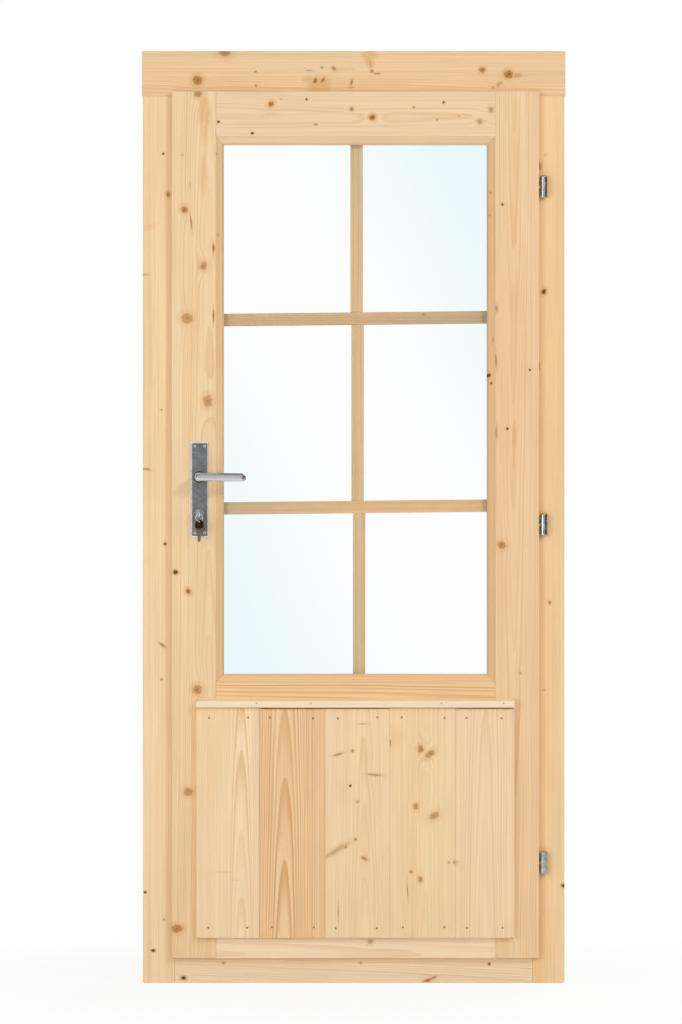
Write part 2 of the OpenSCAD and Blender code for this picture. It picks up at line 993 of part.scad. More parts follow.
module cylinder_prism(y0, y1, grow) {
    translate([lock_x, 0, cylinder_z])
        upright_sheet(y0, y1)
            cylinder_outline(grow);
}

module case_box(grow) {
    block(
        [case_x0 - grow, case_y0 - grow, case_z0 - grow],
        [case_x1 + grow, case_y1 + grow, case_z1 + grow]
    );
}

module faceplate_box(grow) {
    block(
        [body_x0 - grow, lock_y - faceplate_w / 2 - grow, faceplate_z - faceplate_h / 2 - grow],
        [case_x0, lock_y + faceplate_w / 2 + grow, faceplate_z + faceplate_h / 2 + grow]
    );
}

module faceplate_screw_set(grow) {
    for (side = [-1, 1]) {
        z = faceplate_z + side * faceplate_screw_z;
        rod_x(body_x0, body_x0 + edge_screw_l, lock_y, z, edge_screw_d + grow);
        rod_x(body_x0, case_x0, lock_y, z, edge_screw_head_d + grow);
    }
}

module cylinder_screw_body(grow) {
    rod_x(body_x0, lock_x + tail_r, lock_y, cylinder_screw_z, cylinder_screw_d + grow);
    rod_x(body_x0, case_x0, lock_y, cylinder_screw_z, cylinder_screw_head_d + grow);
}

// Everything that is cut out of the latch stile for the lock
module lock_mortise() {
    faceplate_box(fit);
    case_box(fit);
    faceplate_screw_set(2 * drill);
    rod_y(lock_x, leaf_front_y - 1, leaf_back_y + 1, lever_z, hub_d + 2 * mortise_room);
    cylinder_prism(leaf_front_y - 1, leaf_back_y + 1, mortise_room);
}

module bolt_windows(x0, x1) {
    block([x0, lock_y - bolt_t / 2 - seat, latch_z - latch_h / 2 - seat],
        [x1, lock_y + bolt_t / 2 + seat, latch_z + latch_h / 2 + seat]);
    block([x0, lock_y - bolt_t / 2 - seat, deadbolt_z0 - seat],
        [x1, lock_y + bolt_t / 2 + seat, deadbolt_z1 + seat]);
}

module lock_case() {
    color(zinc)
        difference() {
            block([case_x0, case_y0, case_z0], [case_x1, case_y1 - case_wall, case_z1]);
            block(
                [case_x0 + case_wall, case_y0 + case_wall, case_z0 + case_wall],
                [case_x1 - case_wall, case_y1, case_z1 - case_wall]
            );
            bolt_windows(case_x0 - 1, case_x0 + case_wall + 1);
            rod_y(lock_x, case_y0 - 1, case_y1, lever_z, hub_d + 2 * running);
            cylinder_prism(case_y0 - 1, case_y1, seat);
            cylinder_screw_body(2 * drill);
        }
}

module lock_cover() {
    color(zinc)
        difference() {
            block([case_x0, case_y1 - case_wall, case_z0], [case_x1, case_y1, case_z1]);
            rod_y(lock_x, case_y0, case_y1 + 1, lever_z, hub_d + 2 * running);
            cylinder_prism(case_y0, case_y1 + 1, seat);
        }
}

module lock_faceplate() {
    color(satin)
        difference() {
            faceplate_box(0);
            bolt_windows(body_x0 - 1, case_x0 + 1);
            faceplate_screw_set(2 * drill);
            cylinder_screw_body(2 * drill);
        }
}

module faceplate_screws() {
    color(zinc)
        faceplate_screw_set(0);
}

module latch_bolt() {
    tail_y1 = lock_y - tail_gap;
    color(zinc) {
        translate([0, 0, latch_z - latch_h / 2])
            linear_extrude(latch_h)
                polygon([
                    [body_x0 - latch_throw, lock_y - bolt_t / 2],
                    [body_x0 - latch_throw, lock_y - bolt_t / 4],
                    [body_x0, lock_y + bolt_t / 2],
                    [body_x0 + latch_l, lock_y + bolt_t / 2],
                    [body_x0 + latch_l, lock_y - bolt_t / 2]
                ]);
        block([body_x0 + latch_l - 1, tail_y1 - tail_t, tail_z0], [lug_x + lug_w, tail_y1, tail_z1]);
        block([lug_x, tail_y1 - tail_t, lug_z0], [lug_x + lug_w, lock_y + arm_t, tail_z1]);
    }
}

module deadbolt() {
    color(zinc)
        difference() {
            block(
                [body_x0, lock_y - bolt_t / 2, deadbolt_z0],
                [deadbolt_x1, lock_y + bolt_t / 2, deadbolt_z1]
            );
            block(
                [notch_x0, lock_y - bolt_t, deadbolt_z0 - 1],
                [notch_x1, lock_y + bolt_t, deadbolt_z0 + notch_h]
            );
        }
}

module lock_follower() {
    color(zinc)
        difference() {
            union() {
                rod_y(lock_x, case_y0, case_y1, lever_z, hub_d);
                rod_y(lock_x, lock_y, lock_y + arm_t, lever_z, flange_d);
                block(
                    [lock_x - arm_w / 2, lock_y, lever_z],
                    [lock_x + arm_w / 2, lock_y + arm_t, lever_z + arm_r]
                );
            }
            spindle_bar(case_y0 - 1, case_y1 + 1, running);
        }
}

module lock_cylinder() {
    color(brass)
        difference() {
            cylinder_prism(outer_plate_y - cylinder_proud, inner_plate_y + cylinder_proud, 0);
            rod_y(
                lock_x,
                outer_plate_y - cylinder_proud - 1,
                inner_plate_y + cylinder_proud + 1,
                cylinder_z,
                plug_d + 2 * running
            );
            block(
                [lock_x - cylinder_d, lock_y - cam_t / 2 - seat, cylinder_z - web_r],
                [lock_x + cylinder_d, lock_y + cam_t / 2 + seat, cylinder_z + cylinder_d]
            );
            cylinder_screw_body(2 * drill);
        }
}

module cylinder_screw() {
    color(zinc)
        cylinder_screw_body(0);
}

module cylinder_plug() {
    color(brass)
        difference() {
            union() {
                rod_y(
                    lock_x,
                    outer_plate_y - cylinder_proud - plug_proud,
                    inner_plate_y + cylinder_proud + plug_proud,
                    cylinder_z,
                    plug_d
                );
                rod_y(lock_x, lock_y - cam_t / 2, lock_y + cam_t / 2, cylinder_z, cylinder_d - 2 * seat);
                intersection() {
                    rod_y(lock_x, lock_y - cam_t / 2, lock_y + cam_t / 2, cylinder_z, 2 * cam_r);
                    block(
                        [lock_x - cam_w / 2, lock_y - cam_t, cylinder_z - cam_r - 1],
                        [lock_x + cam_w / 2, lock_y + cam_t, cylinder_z]
                    );
                }
            }
            block(
                [lock_x - key_t / 2 - fit, outer_plate_y - cylinder_d, cylinder_z - blade_w / 2 - fit],
                [lock_x + key_t / 2 + fit, keyway_y, cylinder_z + blade_w / 2 + fit]
            );
        }
}

// Handle

module spindle_bar(y0, y1, grow) {
    block(
        [lock_x - spindle_w / 2 - grow, y0, lever_z - spindle_w / 2 - grow],
        [lock_x + spindle_w / 2 + grow, y1, lever_z + spindle_w / 2 + grow]
    );
}

module spindle() {
    color(zinc)
        spindle_bar(outer_plate_y - socket_l + 1, inner_plate_y + socket_l - 1, 0);
}

// Screws of both backplates, their heads flush with the plates' faces
module plate_screw_set(grow) {
    for (side = [-1, 1], end = [-1, 1])
        translate([lock_x + side * plate_screw_x, 0, plate_z + end * plate_screw_z]) {
            rod_y(0, outer_plate_y, outer_plate_y + plate_screw_l, 0, plate_screw_d + grow);
            rod_y(0, outer_plate_y, outer_plate_y + plate_t / 2, 0, plate_screw_head_d + grow);
            rod_y(0, inner_plate_y - plate_screw_l, inner_plate_y, 0, plate_screw_d + grow);
            rod_y(0, inner_plate_y - plate_t / 2, inner_plate_y, 0, plate_screw_head_d + grow);
        }
}

module backplate_screws() {
    color(zinc)
        plate_screw_set(0);
}

// Backplate with its back face at y = 0 and its face towards -Y, about the lever axis
module backplate_shape() {
    z = plate_z - lever_z;
    difference() {
        union() {
            block([-plate_w / 2, plate_bevel - plate_t, z - plate_h / 2], [plate_w / 2, 0, z + plate_h / 2]);
            block(
                [plate_bevel - plate_w / 2, -plate_t, z - plate_h / 2 + plate_bevel],
                [plate_w / 2 - plate_bevel, 0, z + plate_h / 2 - plate_bevel]
            );
            rod_y(0, -plate_t - collar_h, 0, 0, collar_d);
        }
        rod_y(0, -plate_t - collar_h - 1, 1, 0, hub_d + 2 * running);
    }
}

module outer_backplate() {
    color(steel)
        difference() {
            translate([lock_x, leaf_front_y, lever_z])
                backplate_shape();
            cylinder_prism(outer_plate_y - 1, leaf_front_y + 1, seat);
            plate_screw_set(2 * drill);
        }
}

module inner_backplate() {
    color(steel)
        difference() {
            translate([lock_x, leaf_back_y, lever_z])
                mirror([0, 1, 0])
                    backplate_shape();
            cylinder_prism(leaf_back_y - 1, inner_plate_y + 1, seat);
            plate_screw_set(2 * drill);
        }
}

// Tapered grip with a rounded tip, about the lever axis
module lever_grip() {
    front = -lever_reach;
    back = lever_t - lever_reach;
    tip_x = lever_len - lever_t / 2;
    tip_y = (front + back) / 2;
    tip_low = -lever_h / 2;
    tip_high = lever_tip_h - lever_h / 2;
    hull()
        for (step = grip_edge) {
            rod_y(grip_set, front + step[0], back - step[0], 0, lever_h - 2 * step[1], $fn = 32);
            rod_z(tip_x, tip_y, tip_low + step[1], tip_high - step[1], lever_t - 2 * step[0], $fn = 32);
        }
}

// Lever with its backplate's face at y = 0, reaching towards -Y
module lever_shape() {
    difference() {
        union() {
            rod_y(0, -collar_h - 1, plate_t, 0, hub_d);
            rod_y(0, lever_t / 2 - lever_reach, -collar_h - seat, 0, neck_d);
            lever_grip();
        }
        block(
            [-spindle_w / 2 - running, -socket_l, -spindle_w / 2 - running],
            [spindle_w / 2 + running, plate_t + 1, spindle_w / 2 + running]
        );
        grub_screw(2 * drill);
    }
}

module grub_screw(grow) {
    rod_z(0, -grub_y, -neck_d / 2, -spindle_w / 2, grub_d + grow);
}

module place_outer() {
    translate([lock_x, outer_plate_y, lever_z])
        children();
}

module place_inner() {
    translate([lock_x, inner_plate_y, lever_z])
        mirror([0, 1, 0])
            children();
}

module outer_lever() {
    color(satin)
        place_outer()
            lever_shape();
}

module inner_lever() {
    color(satin)
        place_inner()
            lever_shape();
}

module lever_grub_screws() {
    color(zinc) {
        place_outer()
            grub_screw(0);
        place_inner()
            grub_screw(0);
    }
}

// Keys

// Flat key with the middle of its bow at the origin and its blade along +X
module key_outline() {
    difference() {
        union() {
            circle(d = bow_d);
            translate([0, -blade_w / 2])
                square([bow_d / 2 + blade_l - blade_w / 2, blade_w]);
            polygon([
                [bow_d / 2 + blade_l - blade_w / 2, -blade_w / 2],
                [bow_d / 2 + blade_l, -blade_w / 8],
                [bow_d / 2 + blade_l, blade_w / 8],
                [bow_d / 2 + blade_l - blade_w / 2, blade_w / 2]
            ]);
        }
        translate([-bow_hole_off, 0])
            circle(d = bow_hole_d);
        for (n = [1 : 4])
            translate([bow_d / 2 + n * blade_l / 5, -blade_w / 2])
                circle(d = blade_w / 4);
    }
}

module flat_key() {
    translate([0, 0, -key_t / 2])
        linear_extrude(key_t)
            key_outline();
}

module key() {
    color(brass)
        translate([lock_x, bow_y, cylinder_z])
            rotate([0, -90, 0])
                rotate([0, 0, 90])
                    flat_key();
}

module key_ring() {
    color(satin)
        translate([lock_x, ring_y, ring_z])
            rotate([90, 0, 0])
                rotate_extrude()
                    translate([ring_d / 2, 0])
                        circle(d = ring_wire_d);
}

module spare_key() {
    color(brass)
        translate([lock_x, ring_y, spare_hole_z - bow_hole_off])
            rotate([0, 0, spare_yaw])
                rotate([0, 90, 0])
                    flat_key();
}

left_jamb();
right_jamb();
head();
threshold();
frame_screws();
strike_plate();
strike_screws();
hinge_1_frame_knuckles();
hinge_2_frame_knuckles();
hinge_3_frame_knuckles();
hinge_1_pin();
hinge_2_pin();
hinge_3_pin();
left_stile();
right_stile();
top_rail();
mid_rail();
bottom_rail();
glass_pane();
bead_top();
bead_bottom();
bead_left();
bead_right();
bead_pins();
cross_bar_upper();
cross_bar_lower();
upright_bar_top();
upright_bar_middle();
upright_bar_bottom();
panel_board_1();
panel_board_2();
panel_board_3();
panel_board_4();
panel_board_5();
drip_strip();
panel_nails();
hinge_1_leaf_knuckle();
hinge_2_leaf_knuckle();
hinge_3_leaf_knuckle();
lock_case();
lock_cover();
lock_faceplate();
faceplate_screws();
outer_backplate();
inner_backplate();
backplate_screws();
lock_cylinder();
cylinder_screw();
outer_lever();
inner_lever();
spindle();
lock_follower();
lever_grub_screws();
latch_bolt();
deadbolt();
cylinder_plug();
key();
key_ring();
spare_key();
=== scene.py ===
import math

import bpy
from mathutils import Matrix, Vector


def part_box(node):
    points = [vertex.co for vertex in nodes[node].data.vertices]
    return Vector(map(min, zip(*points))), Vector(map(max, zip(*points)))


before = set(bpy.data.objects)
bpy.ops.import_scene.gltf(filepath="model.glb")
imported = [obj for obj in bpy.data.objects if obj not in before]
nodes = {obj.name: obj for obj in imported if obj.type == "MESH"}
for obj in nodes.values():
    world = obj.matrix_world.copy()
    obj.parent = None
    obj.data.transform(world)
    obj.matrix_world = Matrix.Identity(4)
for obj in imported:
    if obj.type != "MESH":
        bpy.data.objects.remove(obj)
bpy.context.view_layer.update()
scene = bpy.context.scene

# A millimetre, in metres
MM = 0.001
# Which way a piece's grain runs
UPRIGHT, LEVEL = True, False


def tone(red, green, blue):
    """A display colour, 0 to 255, as the linear colour that shaders use."""
    def linear(value):
        share = value / 255
        return share / 12.92 if share <= 0.04045 else ((share + 0.055) / 1.055) ** 2.4
    return (linear(red), linear(green), linear(blue), 1.0)


class Graph:
    """Adds nodes to a tree and joins them."""

    def __init__(self, tree):
        self.tree = tree

    def node(self, kind, **settings):
        made = self.tree.nodes.new(kind)
        for name, value in settings.items():
            setattr(made, name, value)
        return made

    def put(self, socket, value):
        if isinstance(value, bpy.types.NodeSocket):
            self.tree.links.new(value, socket)
        else:
            socket.default_value = value

    def math(self, operation, *values, clamp=False):
        made = self.node("ShaderNodeMath", operation=operation, use_clamp=clamp)
        for socket, value in zip(made.inputs, values):
            self.put(socket, value)
        return made.outputs[0]

    def vector(self, operation, *values):
        made = self.node("ShaderNodeVectorMath", operation=operation)
        for socket, value in zip(made.inputs, values):
            self.put(socket, value)
        return made.outputs["Value"] if operation == "LENGTH" else made.outputs["Vector"]

    def split(self, vector):
        made = self.node("ShaderNodeSeparateXYZ")
        self.put(made.inputs[0], vector)
        return made.outputs

    def front(self, place):
        """A place's X and Z, which are across and up as seen from the front."""
        axes = self.split(place)
        return axes["X"], axes["Z"]

    def join(self, x, y, z):
        made = self.node("ShaderNodeCombineXYZ")
        for socket, value in zip(made.inputs, (x, y, z)):
            self.put(socket, value)
        return made.outputs[0]

    def scale(self, vector, factor):
        made = self.node("ShaderNodeVectorMath", operation="SCALE")
        self.put(made.inputs[0], vector)
        self.put(made.inputs["Scale"], factor)
        return made.outputs[0]

    def noise(self, vector, stretch, detail=2.0, roughness=0.5):
        made = self.node("ShaderNodeTexNoise", noise_dimensions="3D")
        self.put(made.inputs["Vector"], self.vector("MULTIPLY", vector, stretch))
        made.inputs["Scale"].default_value = 1.0
        made.inputs["Detail"].default_value = detail
        made.inputs["Roughness"].default_value = roughness
        return made.outputs["Fac"]

    def step(self, value, low, high, out_low=0.0, out_high=1.0):
        made = self.node("ShaderNodeMapRange", interpolation_type="SMOOTHSTEP")
        for socket, given in zip(made.inputs, (value, low, high, out_low, out_high)):
            self.put(socket, given)
        return made.outputs[0]

    def spread(self, value, low, high, out_low, out_high):
        made = self.node("ShaderNodeMapRange")
        for socket, given in zip(made.inputs, (value, low, high, out_low, out_high)):
            self.put(socket, given)
        return made.outputs[0]

    def mix(self, share, first, second):
        made = self.node("ShaderNodeMix", data_type="RGBA")
        self.put(made.inputs[0], share)
        self.put(made.inputs[6], first)
        self.put(made.inputs[7], second)
        return made.outputs[2]

    def bump(self, height, strength, distance):
        made = self.node("ShaderNodeBump")
        made.inputs["Strength"].default_value = strength
        made.inputs["Distance"].default_value = distance
        self.put(made.inputs["Height"], height)
        return made.outputs[0]

    def off(self, value, middle):
        """How far a value lies from the middle, to either side."""
        return self.math("ABSOLUTE", self.math("SUBTRACT", value, middle))

    def far(self, first, second):
        """Straight distance to a place that lies so far along one axis and so far along the other."""
        return self.math("SQRT", self.math("ADD", self.math("MULTIPLY", first, first),
                                           self.math("MULTIPLY", second, second)))

    def swing(self, vector, stretch):
        """Noise about nought."""
        return self.math("SUBTRACT", self.noise(vector, stretch), 0.5)

    def group(self, tree, values):
        made = self.node("ShaderNodeGroup", node_tree=tree)
        for socket_name, value in values.items():
            self.put(made.inputs[socket_name], value)
        return made.outputs


def new_group(name, inputs, outputs, kind="ShaderNodeTree"):
    tree = bpy.data.node_groups.new(name, kind)
    for socket_name, holds in inputs:
        tree.interface.new_socket(socket_name, in_out="INPUT", socket_type="NodeSocket" + holds)
    for socket_name, holds in outputs:
        tree.interface.new_socket(socket_name, in_out="OUTPUT", socket_type="NodeSocket" + holds)
    graph = Graph(tree)
    return graph, graph.node("NodeGroupInput").outputs, graph.node("NodeGroupOutput").inputs


def knot_group():
    """One knot on the face, added to those before it: how near the nearest is, in knot radii, how dark it is,
    and how far all of them push the growth rings."""
    graph, given, out = new_group(
        "knot",
        [("Face", "Vector"), ("Centre", "Vector"), ("Size", "Vector"), ("Reach", "Vector"), ("Turn", "Float"),
         ("Push", "Float"), ("Depth", "Float"), ("Near", "Float"), ("Dark", "Float"), ("Lift", "Float")],
        [("Near", "Float"), ("Dark", "Float"), ("Lift", "Float")])
    away = graph.vector("SUBTRACT", given["Face"], given["Centre"])
    turned = graph.node("ShaderNodeVectorRotate", rotation_type="Z_AXIS")
    graph.put(turned.inputs["Vector"], away)
    graph.put(turned.inputs["Angle"], graph.math("MULTIPLY", given["Turn"], -1.0))
    near = graph.vector("LENGTH", graph.vector("DIVIDE", turned.outputs[0], given["Size"]))
    closer = graph.math("LESS_THAN", near, given["Near"])
    reach = graph.vector("LENGTH", graph.vector("DIVIDE", away, given["Reach"]))
    fade = graph.math("EXPONENT", graph.math("MULTIPLY", graph.math("MULTIPLY", reach, reach), -1.0))
    graph.put(out["Near"], graph.math("MINIMUM", near, given["Near"]))
    darker = graph.math("MULTIPLY", closer, graph.math("SUBTRACT", given["Depth"], given["Dark"]))
    graph.put(out["Dark"], graph.math("ADD", given["Dark"], darker))
    graph.put(out["Lift"], graph.math("MULTIPLY_ADD", fade, given["Push"], given["Lift"]))
    return graph.tree


# Rings close up by their squeeze at this distance from the pith, and ripple by this much
SQUEEZE_REACH, RIPPLE = 30.0 * MM, 1.1 * MM


def late_wood(graph, given, grain):
    """The dark end of each year's growth ring, from nought to one, round a leaning pith."""
    along, across, deep = graph.split(given["Grain"])
    side = graph.math("SUBTRACT", across, given["Pith across"])
    side = graph.math("MULTIPLY_ADD", graph.swing(grain, (2.0, 5.0, 5.0)), given["Wave"], side)
    squeeze = graph.math("DIVIDE", given["Squeeze"], SQUEEZE_REACH)
    closing = graph.math("MULTIPLY", graph.math("ABSOLUTE", side), squeeze)
    side = graph.math("MULTIPLY", side, graph.math("ADD", closing, 1.0))
    pith = graph.math("MULTIPLY_ADD", along, given["Lean"], given["Pith deep"])
    radius = graph.far(side, graph.math("SUBTRACT", deep, pith))
    radius = graph.math("MULTIPLY_ADD", graph.swing(grain, (7.0, 45.0, 45.0)), RIPPLE, radius)
    count = graph.math("DIVIDE", graph.math("ADD", radius, given["Lift"]), given["Ring"])

    # Good and bad years: rings of uneven width and strength
    years = graph.noise(graph.join(graph.math("MULTIPLY", count, 0.41), given["Seed"], 0.0), (1.0, 1.0, 1.0))
    count = graph.math("MULTIPLY_ADD", years, 1.6, count)
    share = graph.math("FRACT", count)
    late = graph.math("MULTIPLY", graph.step(share, 0.3, 0.93), graph.step(share, 0.995, 0.95))
    year = graph.node("ShaderNodeTexWhiteNoise", noise_dimensions="2D")
    graph.put(year.inputs["Vector"], graph.join(graph.math("FLOOR", count), given["Seed"], 0.0))
    return graph.math("MULTIPLY", late, graph.math("MULTIPLY_ADD", year.outputs["Value"], 0.8, 0.2))


def clear_wood(graph, given, grain, late, fibre):
    """Colour of the wood between the knots: rings, warm and pale bands, fibres, threads and resin canals."""
    strength = graph.math("MULTIPLY", late, given["Contrast"], clamp=True)
    colour = graph.mix(strength, given["Early"], given["Late"])
    warm = graph.step(graph.noise(grain, (0.9, 10.0, 10.0)), 0.46, 0.72)
    colour = graph.mix(graph.math("MULTIPLY", warm, given["Blush"]), colour, tone(229, 183, 126))
    pale = graph.step(graph.noise(grain, (1.4, 17.0, 17.0)), 0.55, 0.75)
    colour = graph.mix(graph.math("MULTIPLY", pale, 0.3), colour, tone(246, 222, 186))

    mottle = graph.noise(grain, (6.0, 30.0, 30.0), 3.0, 0.6)
    canal = graph.step(graph.noise(grain, (48.0, 2100.0, 2100.0), 1.0), 0.68, 0.78)
    thread = graph.noise(grain, (2.5, 380.0, 380.0), 3.0, 0.65)
    light = graph.math("ADD", graph.spread(fibre, 0.2, 0.8, 0.955, 1.045),
                       graph.spread(mottle, 0.3, 0.7, -0.032, 0.032))
    light = graph.math("ADD", light, graph.spread(thread, 0.25, 0.75, -0.08, 0.08))
    return graph.scale(colour, graph.math("MULTIPLY_ADD", canal, -0.07, light))


def knotty_wood(graph, given, colour):
    """The colour with knots and their orange halos added, and how much of each place is a knot's core."""
    crumble = graph.noise(given["Face"], (420.0, 420.0, 420.0), 3.0, 0.65)
    warp = graph.noise(given["Face"], (130.0, 130.0, 130.0), 1.0)
    near = graph.math("MULTIPLY_ADD", graph.math("SUBTRACT", crumble, 0.5), 0.6, given["Near"])
    near = graph.math("MULTIPLY_ADD", graph.math("SUBTRACT", warp, 0.5), 0.8, near)
    halo = graph.math("MULTIPLY", graph.step(near, 2.5, 0.9), graph.math("ABSOLUTE", given["Dark"]))
    colour = graph.mix(graph.math("MULTIPLY", halo, 0.55), colour, tone(214, 158, 90))

    loops = graph.math("SINE", graph.math("MULTIPLY_ADD", near, 15.0, graph.math("MULTIPLY", crumble, 4.0)))
    heart = graph.mix(graph.spread(loops, -1.0, 1.0, 0.0, 0.6), tone(190, 134, 68), tone(134, 84, 36))
    heart = graph.mix(graph.step(near, 0.7, 0.95), heart, tone(134, 86, 40))
    heart = graph.mix(graph.step(near, 0.4, 0.1), heart, tone(116, 70, 30))
    heart = graph.mix(graph.step(given["Dark"], 1.02, 1.2), heart, tone(98, 58, 26))
    core = graph.math("MULTIPLY", graph.step(near, 1.2, 0.65), given["Dark"], clamp=True)
    return graph.mix(core, colour, heart), core


def pine_group():
    """Sawn pine from a stack of growth rings, with fibres, resin canals and knots."""
    graph, given, out = new_group(
        "pine",
        [("Grain", "Vector"), ("Face", "Vector"), ("Seed", "Float"), ("Ring", "Float"),
         ("Pith across", "Float"), ("Pith deep", "Float"), ("Lean", "Float"), ("Wave", "Float"),
         ("Squeeze", "Float"), ("Contrast", "Float"), ("Blush", "Float"), ("Early", "Color"),
         ("Late", "Color"), ("Near", "Float"), ("Dark", "Float"), ("Lift", "Float")],
        [("Colour", "Color"), ("Roughness", "Float"), ("Height", "Float")])
    seed = graph.join(given["Seed"], graph.math("MULTIPLY", given["Seed"], 0.37),
                      graph.math("MULTIPLY", given["Seed"], 0.71))
    grain = graph.vector("ADD", given["Grain"], seed)
    late = late_wood(graph, given, grain)
    fibre = graph.noise(grain, (26.0, 1300.0, 1300.0), 2.0, 0.6)
    colour, core = knotty_wood(graph, given, clear_wood(graph, given, grain, late, fibre))
    graph.put(out["Colour"], colour)
    rough = graph.math("MULTIPLY_ADD", late, -0.08, graph.spread(fibre, 0.2, 0.8, 0.5, 0.64))
    graph.put(out["Roughness"], graph.math("MULTIPLY_ADD", core, -0.1, rough))
    height = graph.math("MULTIPLY_ADD", late, 0.5, graph.math("MULTIPLY", fibre, 0.6))
    graph.put(out["Height"], graph.math("MULTIPLY_ADD", core, 0.5, height))
    return graph.tree


def new_material(name):
    material = bpy.data.materials.new(name)
    material.use_nodes = True
    graph = Graph(material.node_tree)
    shader = material.node_tree.nodes["Principled BSDF"]
    place = graph.node("ShaderNodeTexCoord").outputs["Object"]
    return material, graph, shader, place


def dress(node_names, material):
    for node_name in node_names:
        mesh = nodes[node_name].data
        mesh.materials.clear()
        mesh.materials.append(material)


def middle(node_name):
    """The middle of a node's box."""
    low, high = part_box(node_name)
    return (low + high) / 2


def half_size(node_name):
    """Half the size of a node's box."""
    low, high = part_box(node_name)
    return (high - low) / 2


KNOT = knot_group()
PINE = pine_group()
# Where a piece has no knot, the nearest is this many knot radii away
NO_KNOT = 99.0
# For each metre into the wood, a knot moves this far sideways and down, and narrows
KNOT_SLANT, KNOT_DROP, KNOT_TAPER = 0.45, 0.3, 8.0
# A knot that is smaller and at least this dark is a tight one, and darker still
TIGHT_KNOT, TIGHT_DARKNESS, TIGHT_EXTRA = 4.2 * MM, 0.85, 0.35
# In knot radii, how far across and along the grain a knot bends the rings, and by how much
REACH_ACROSS, REACH_ALONG, RING_PUSH = 2.0, 4.2, 0.5
# Shade at the joints of rails and stiles, which are in line with the beads, ends a little past them
SHADE_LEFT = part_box("bead_left")[0].x - 0.4 * MM
SHADE_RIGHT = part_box("bead_right")[1].x + 1.6 * MM


def knot_chain(graph, face, upright, knots):
    """How near the nearest knot is, in knot radii, how dark it is, and how far all knots push the rings."""
    near, dark, lift = NO_KNOT, 0.0, 0.0
    wide, tall = (REACH_ACROSS, REACH_ALONG) if upright else (REACH_ALONG, REACH_ACROSS)
    for middle_x, middle_z, half_x, half_z, depth, *turn in knots:
        size = math.sqrt(half_x * half_z) * MM
        if size < TIGHT_KNOT and depth >= TIGHT_DARKNESS:
            depth += TIGHT_EXTRA
        # A pale knot bends the rings less, and a stain not at all
        bend = max(0.0, min(1.0, 1.4 * depth))
        knot = graph.group(KNOT, {
            "Face": face, "Centre": (middle_x * MM, middle_z * MM, 0.0),
            "Size": (half_x * MM, half_z * MM, 1.0), "Reach": (wide * size, tall * size, 1.0),
            "Turn": math.radians(turn[0]) if turn else 0.0, "Push": RING_PUSH * size * bend, "Depth": depth,
            "Near": near, "Dark": dark, "Lift": lift,
        })
        near, dark, lift = knot["Near"], knot["Dark"], knot["Lift"]
    return near, dark, lift


def shoulder_shade(graph, x, colour):
    """Darkens a rail's face beside its two shoulders."""
    half = (SHADE_RIGHT - SHADE_LEFT) / 2
    away = graph.off(x, (SHADE_LEFT + SHADE_RIGHT) / 2)
    shade = graph.step(away, half - 2.2 * MM, half - 0.8 * MM, 0.0, 0.45)
    return graph.mix(shade, colour, tone(176, 126, 76))


def pine(node_name, upright, seed, ring, pith, *, early, late, lean=0.0, wave=0.012, contrast=0.8, blush=0.25,
         squeeze=0.0, shoulders=False, knots=()):
    """Dresses a node in pine.
    ring is the width of a year's growth, and pith is the place of the tree's middle across the piece and
    along Y, all in mm. The pith leans along the piece, the rings wave, and squeeze closes them up sideways.
    contrast is the strength of the late wood, and blush that of the warm bands.
    A knot is its middle x, z and half sizes x, z in mm, then its darkness and turn in degrees. It lies on the
    front face, and runs into the wood aslant while it narrows. A darkness below nought is an orange stain."""
    material, graph, shader, place = new_material(node_name + "_pine")
    x, y, z = graph.split(place)
    behind = graph.math("SUBTRACT", y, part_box(node_name)[0].y)
    slant = KNOT_SLANT if int(seed) % 2 else -KNOT_SLANT
    face = graph.join(graph.math("MULTIPLY_ADD", behind, slant, x),
                      graph.math("MULTIPLY_ADD", behind, KNOT_DROP, z), 0.0)
    near, dark, lift = knot_chain(graph, face, upright, knots)
    if knots:
        near = graph.math("MULTIPLY", near, graph.math("MULTIPLY_ADD", behind, KNOT_TAPER, 1.0))
    wood = graph.group(PINE, {
        "Grain": graph.join(z, x, y) if upright else graph.join(x, z, y), "Face": face, "Seed": seed,
        "Ring": ring * MM, "Pith across": pith[0] * MM, "Pith deep": pith[1] * MM, "Lean": lean, "Wave": wave,
        "Squeeze": squeeze, "Contrast": contrast, "Blush": blush, "Early": tone(*early), "Late": tone(*late),
        "Near": near, "Dark": dark, "Lift": lift,
    })
    colour = shoulder_shade(graph, x, wood["Colour"]) if shoulders else wood["Colour"]
    graph.put(shader.inputs["Base Color"], colour)
    graph.put(shader.inputs["Roughness"], wood["Roughness"])
    graph.put(shader.inputs["Normal"], graph.bump(wood["Height"], 0.35, 0.3 * MM))
    shader.inputs["Specular IOR Level"].default_value = 0.35
    dress([node_name], material)


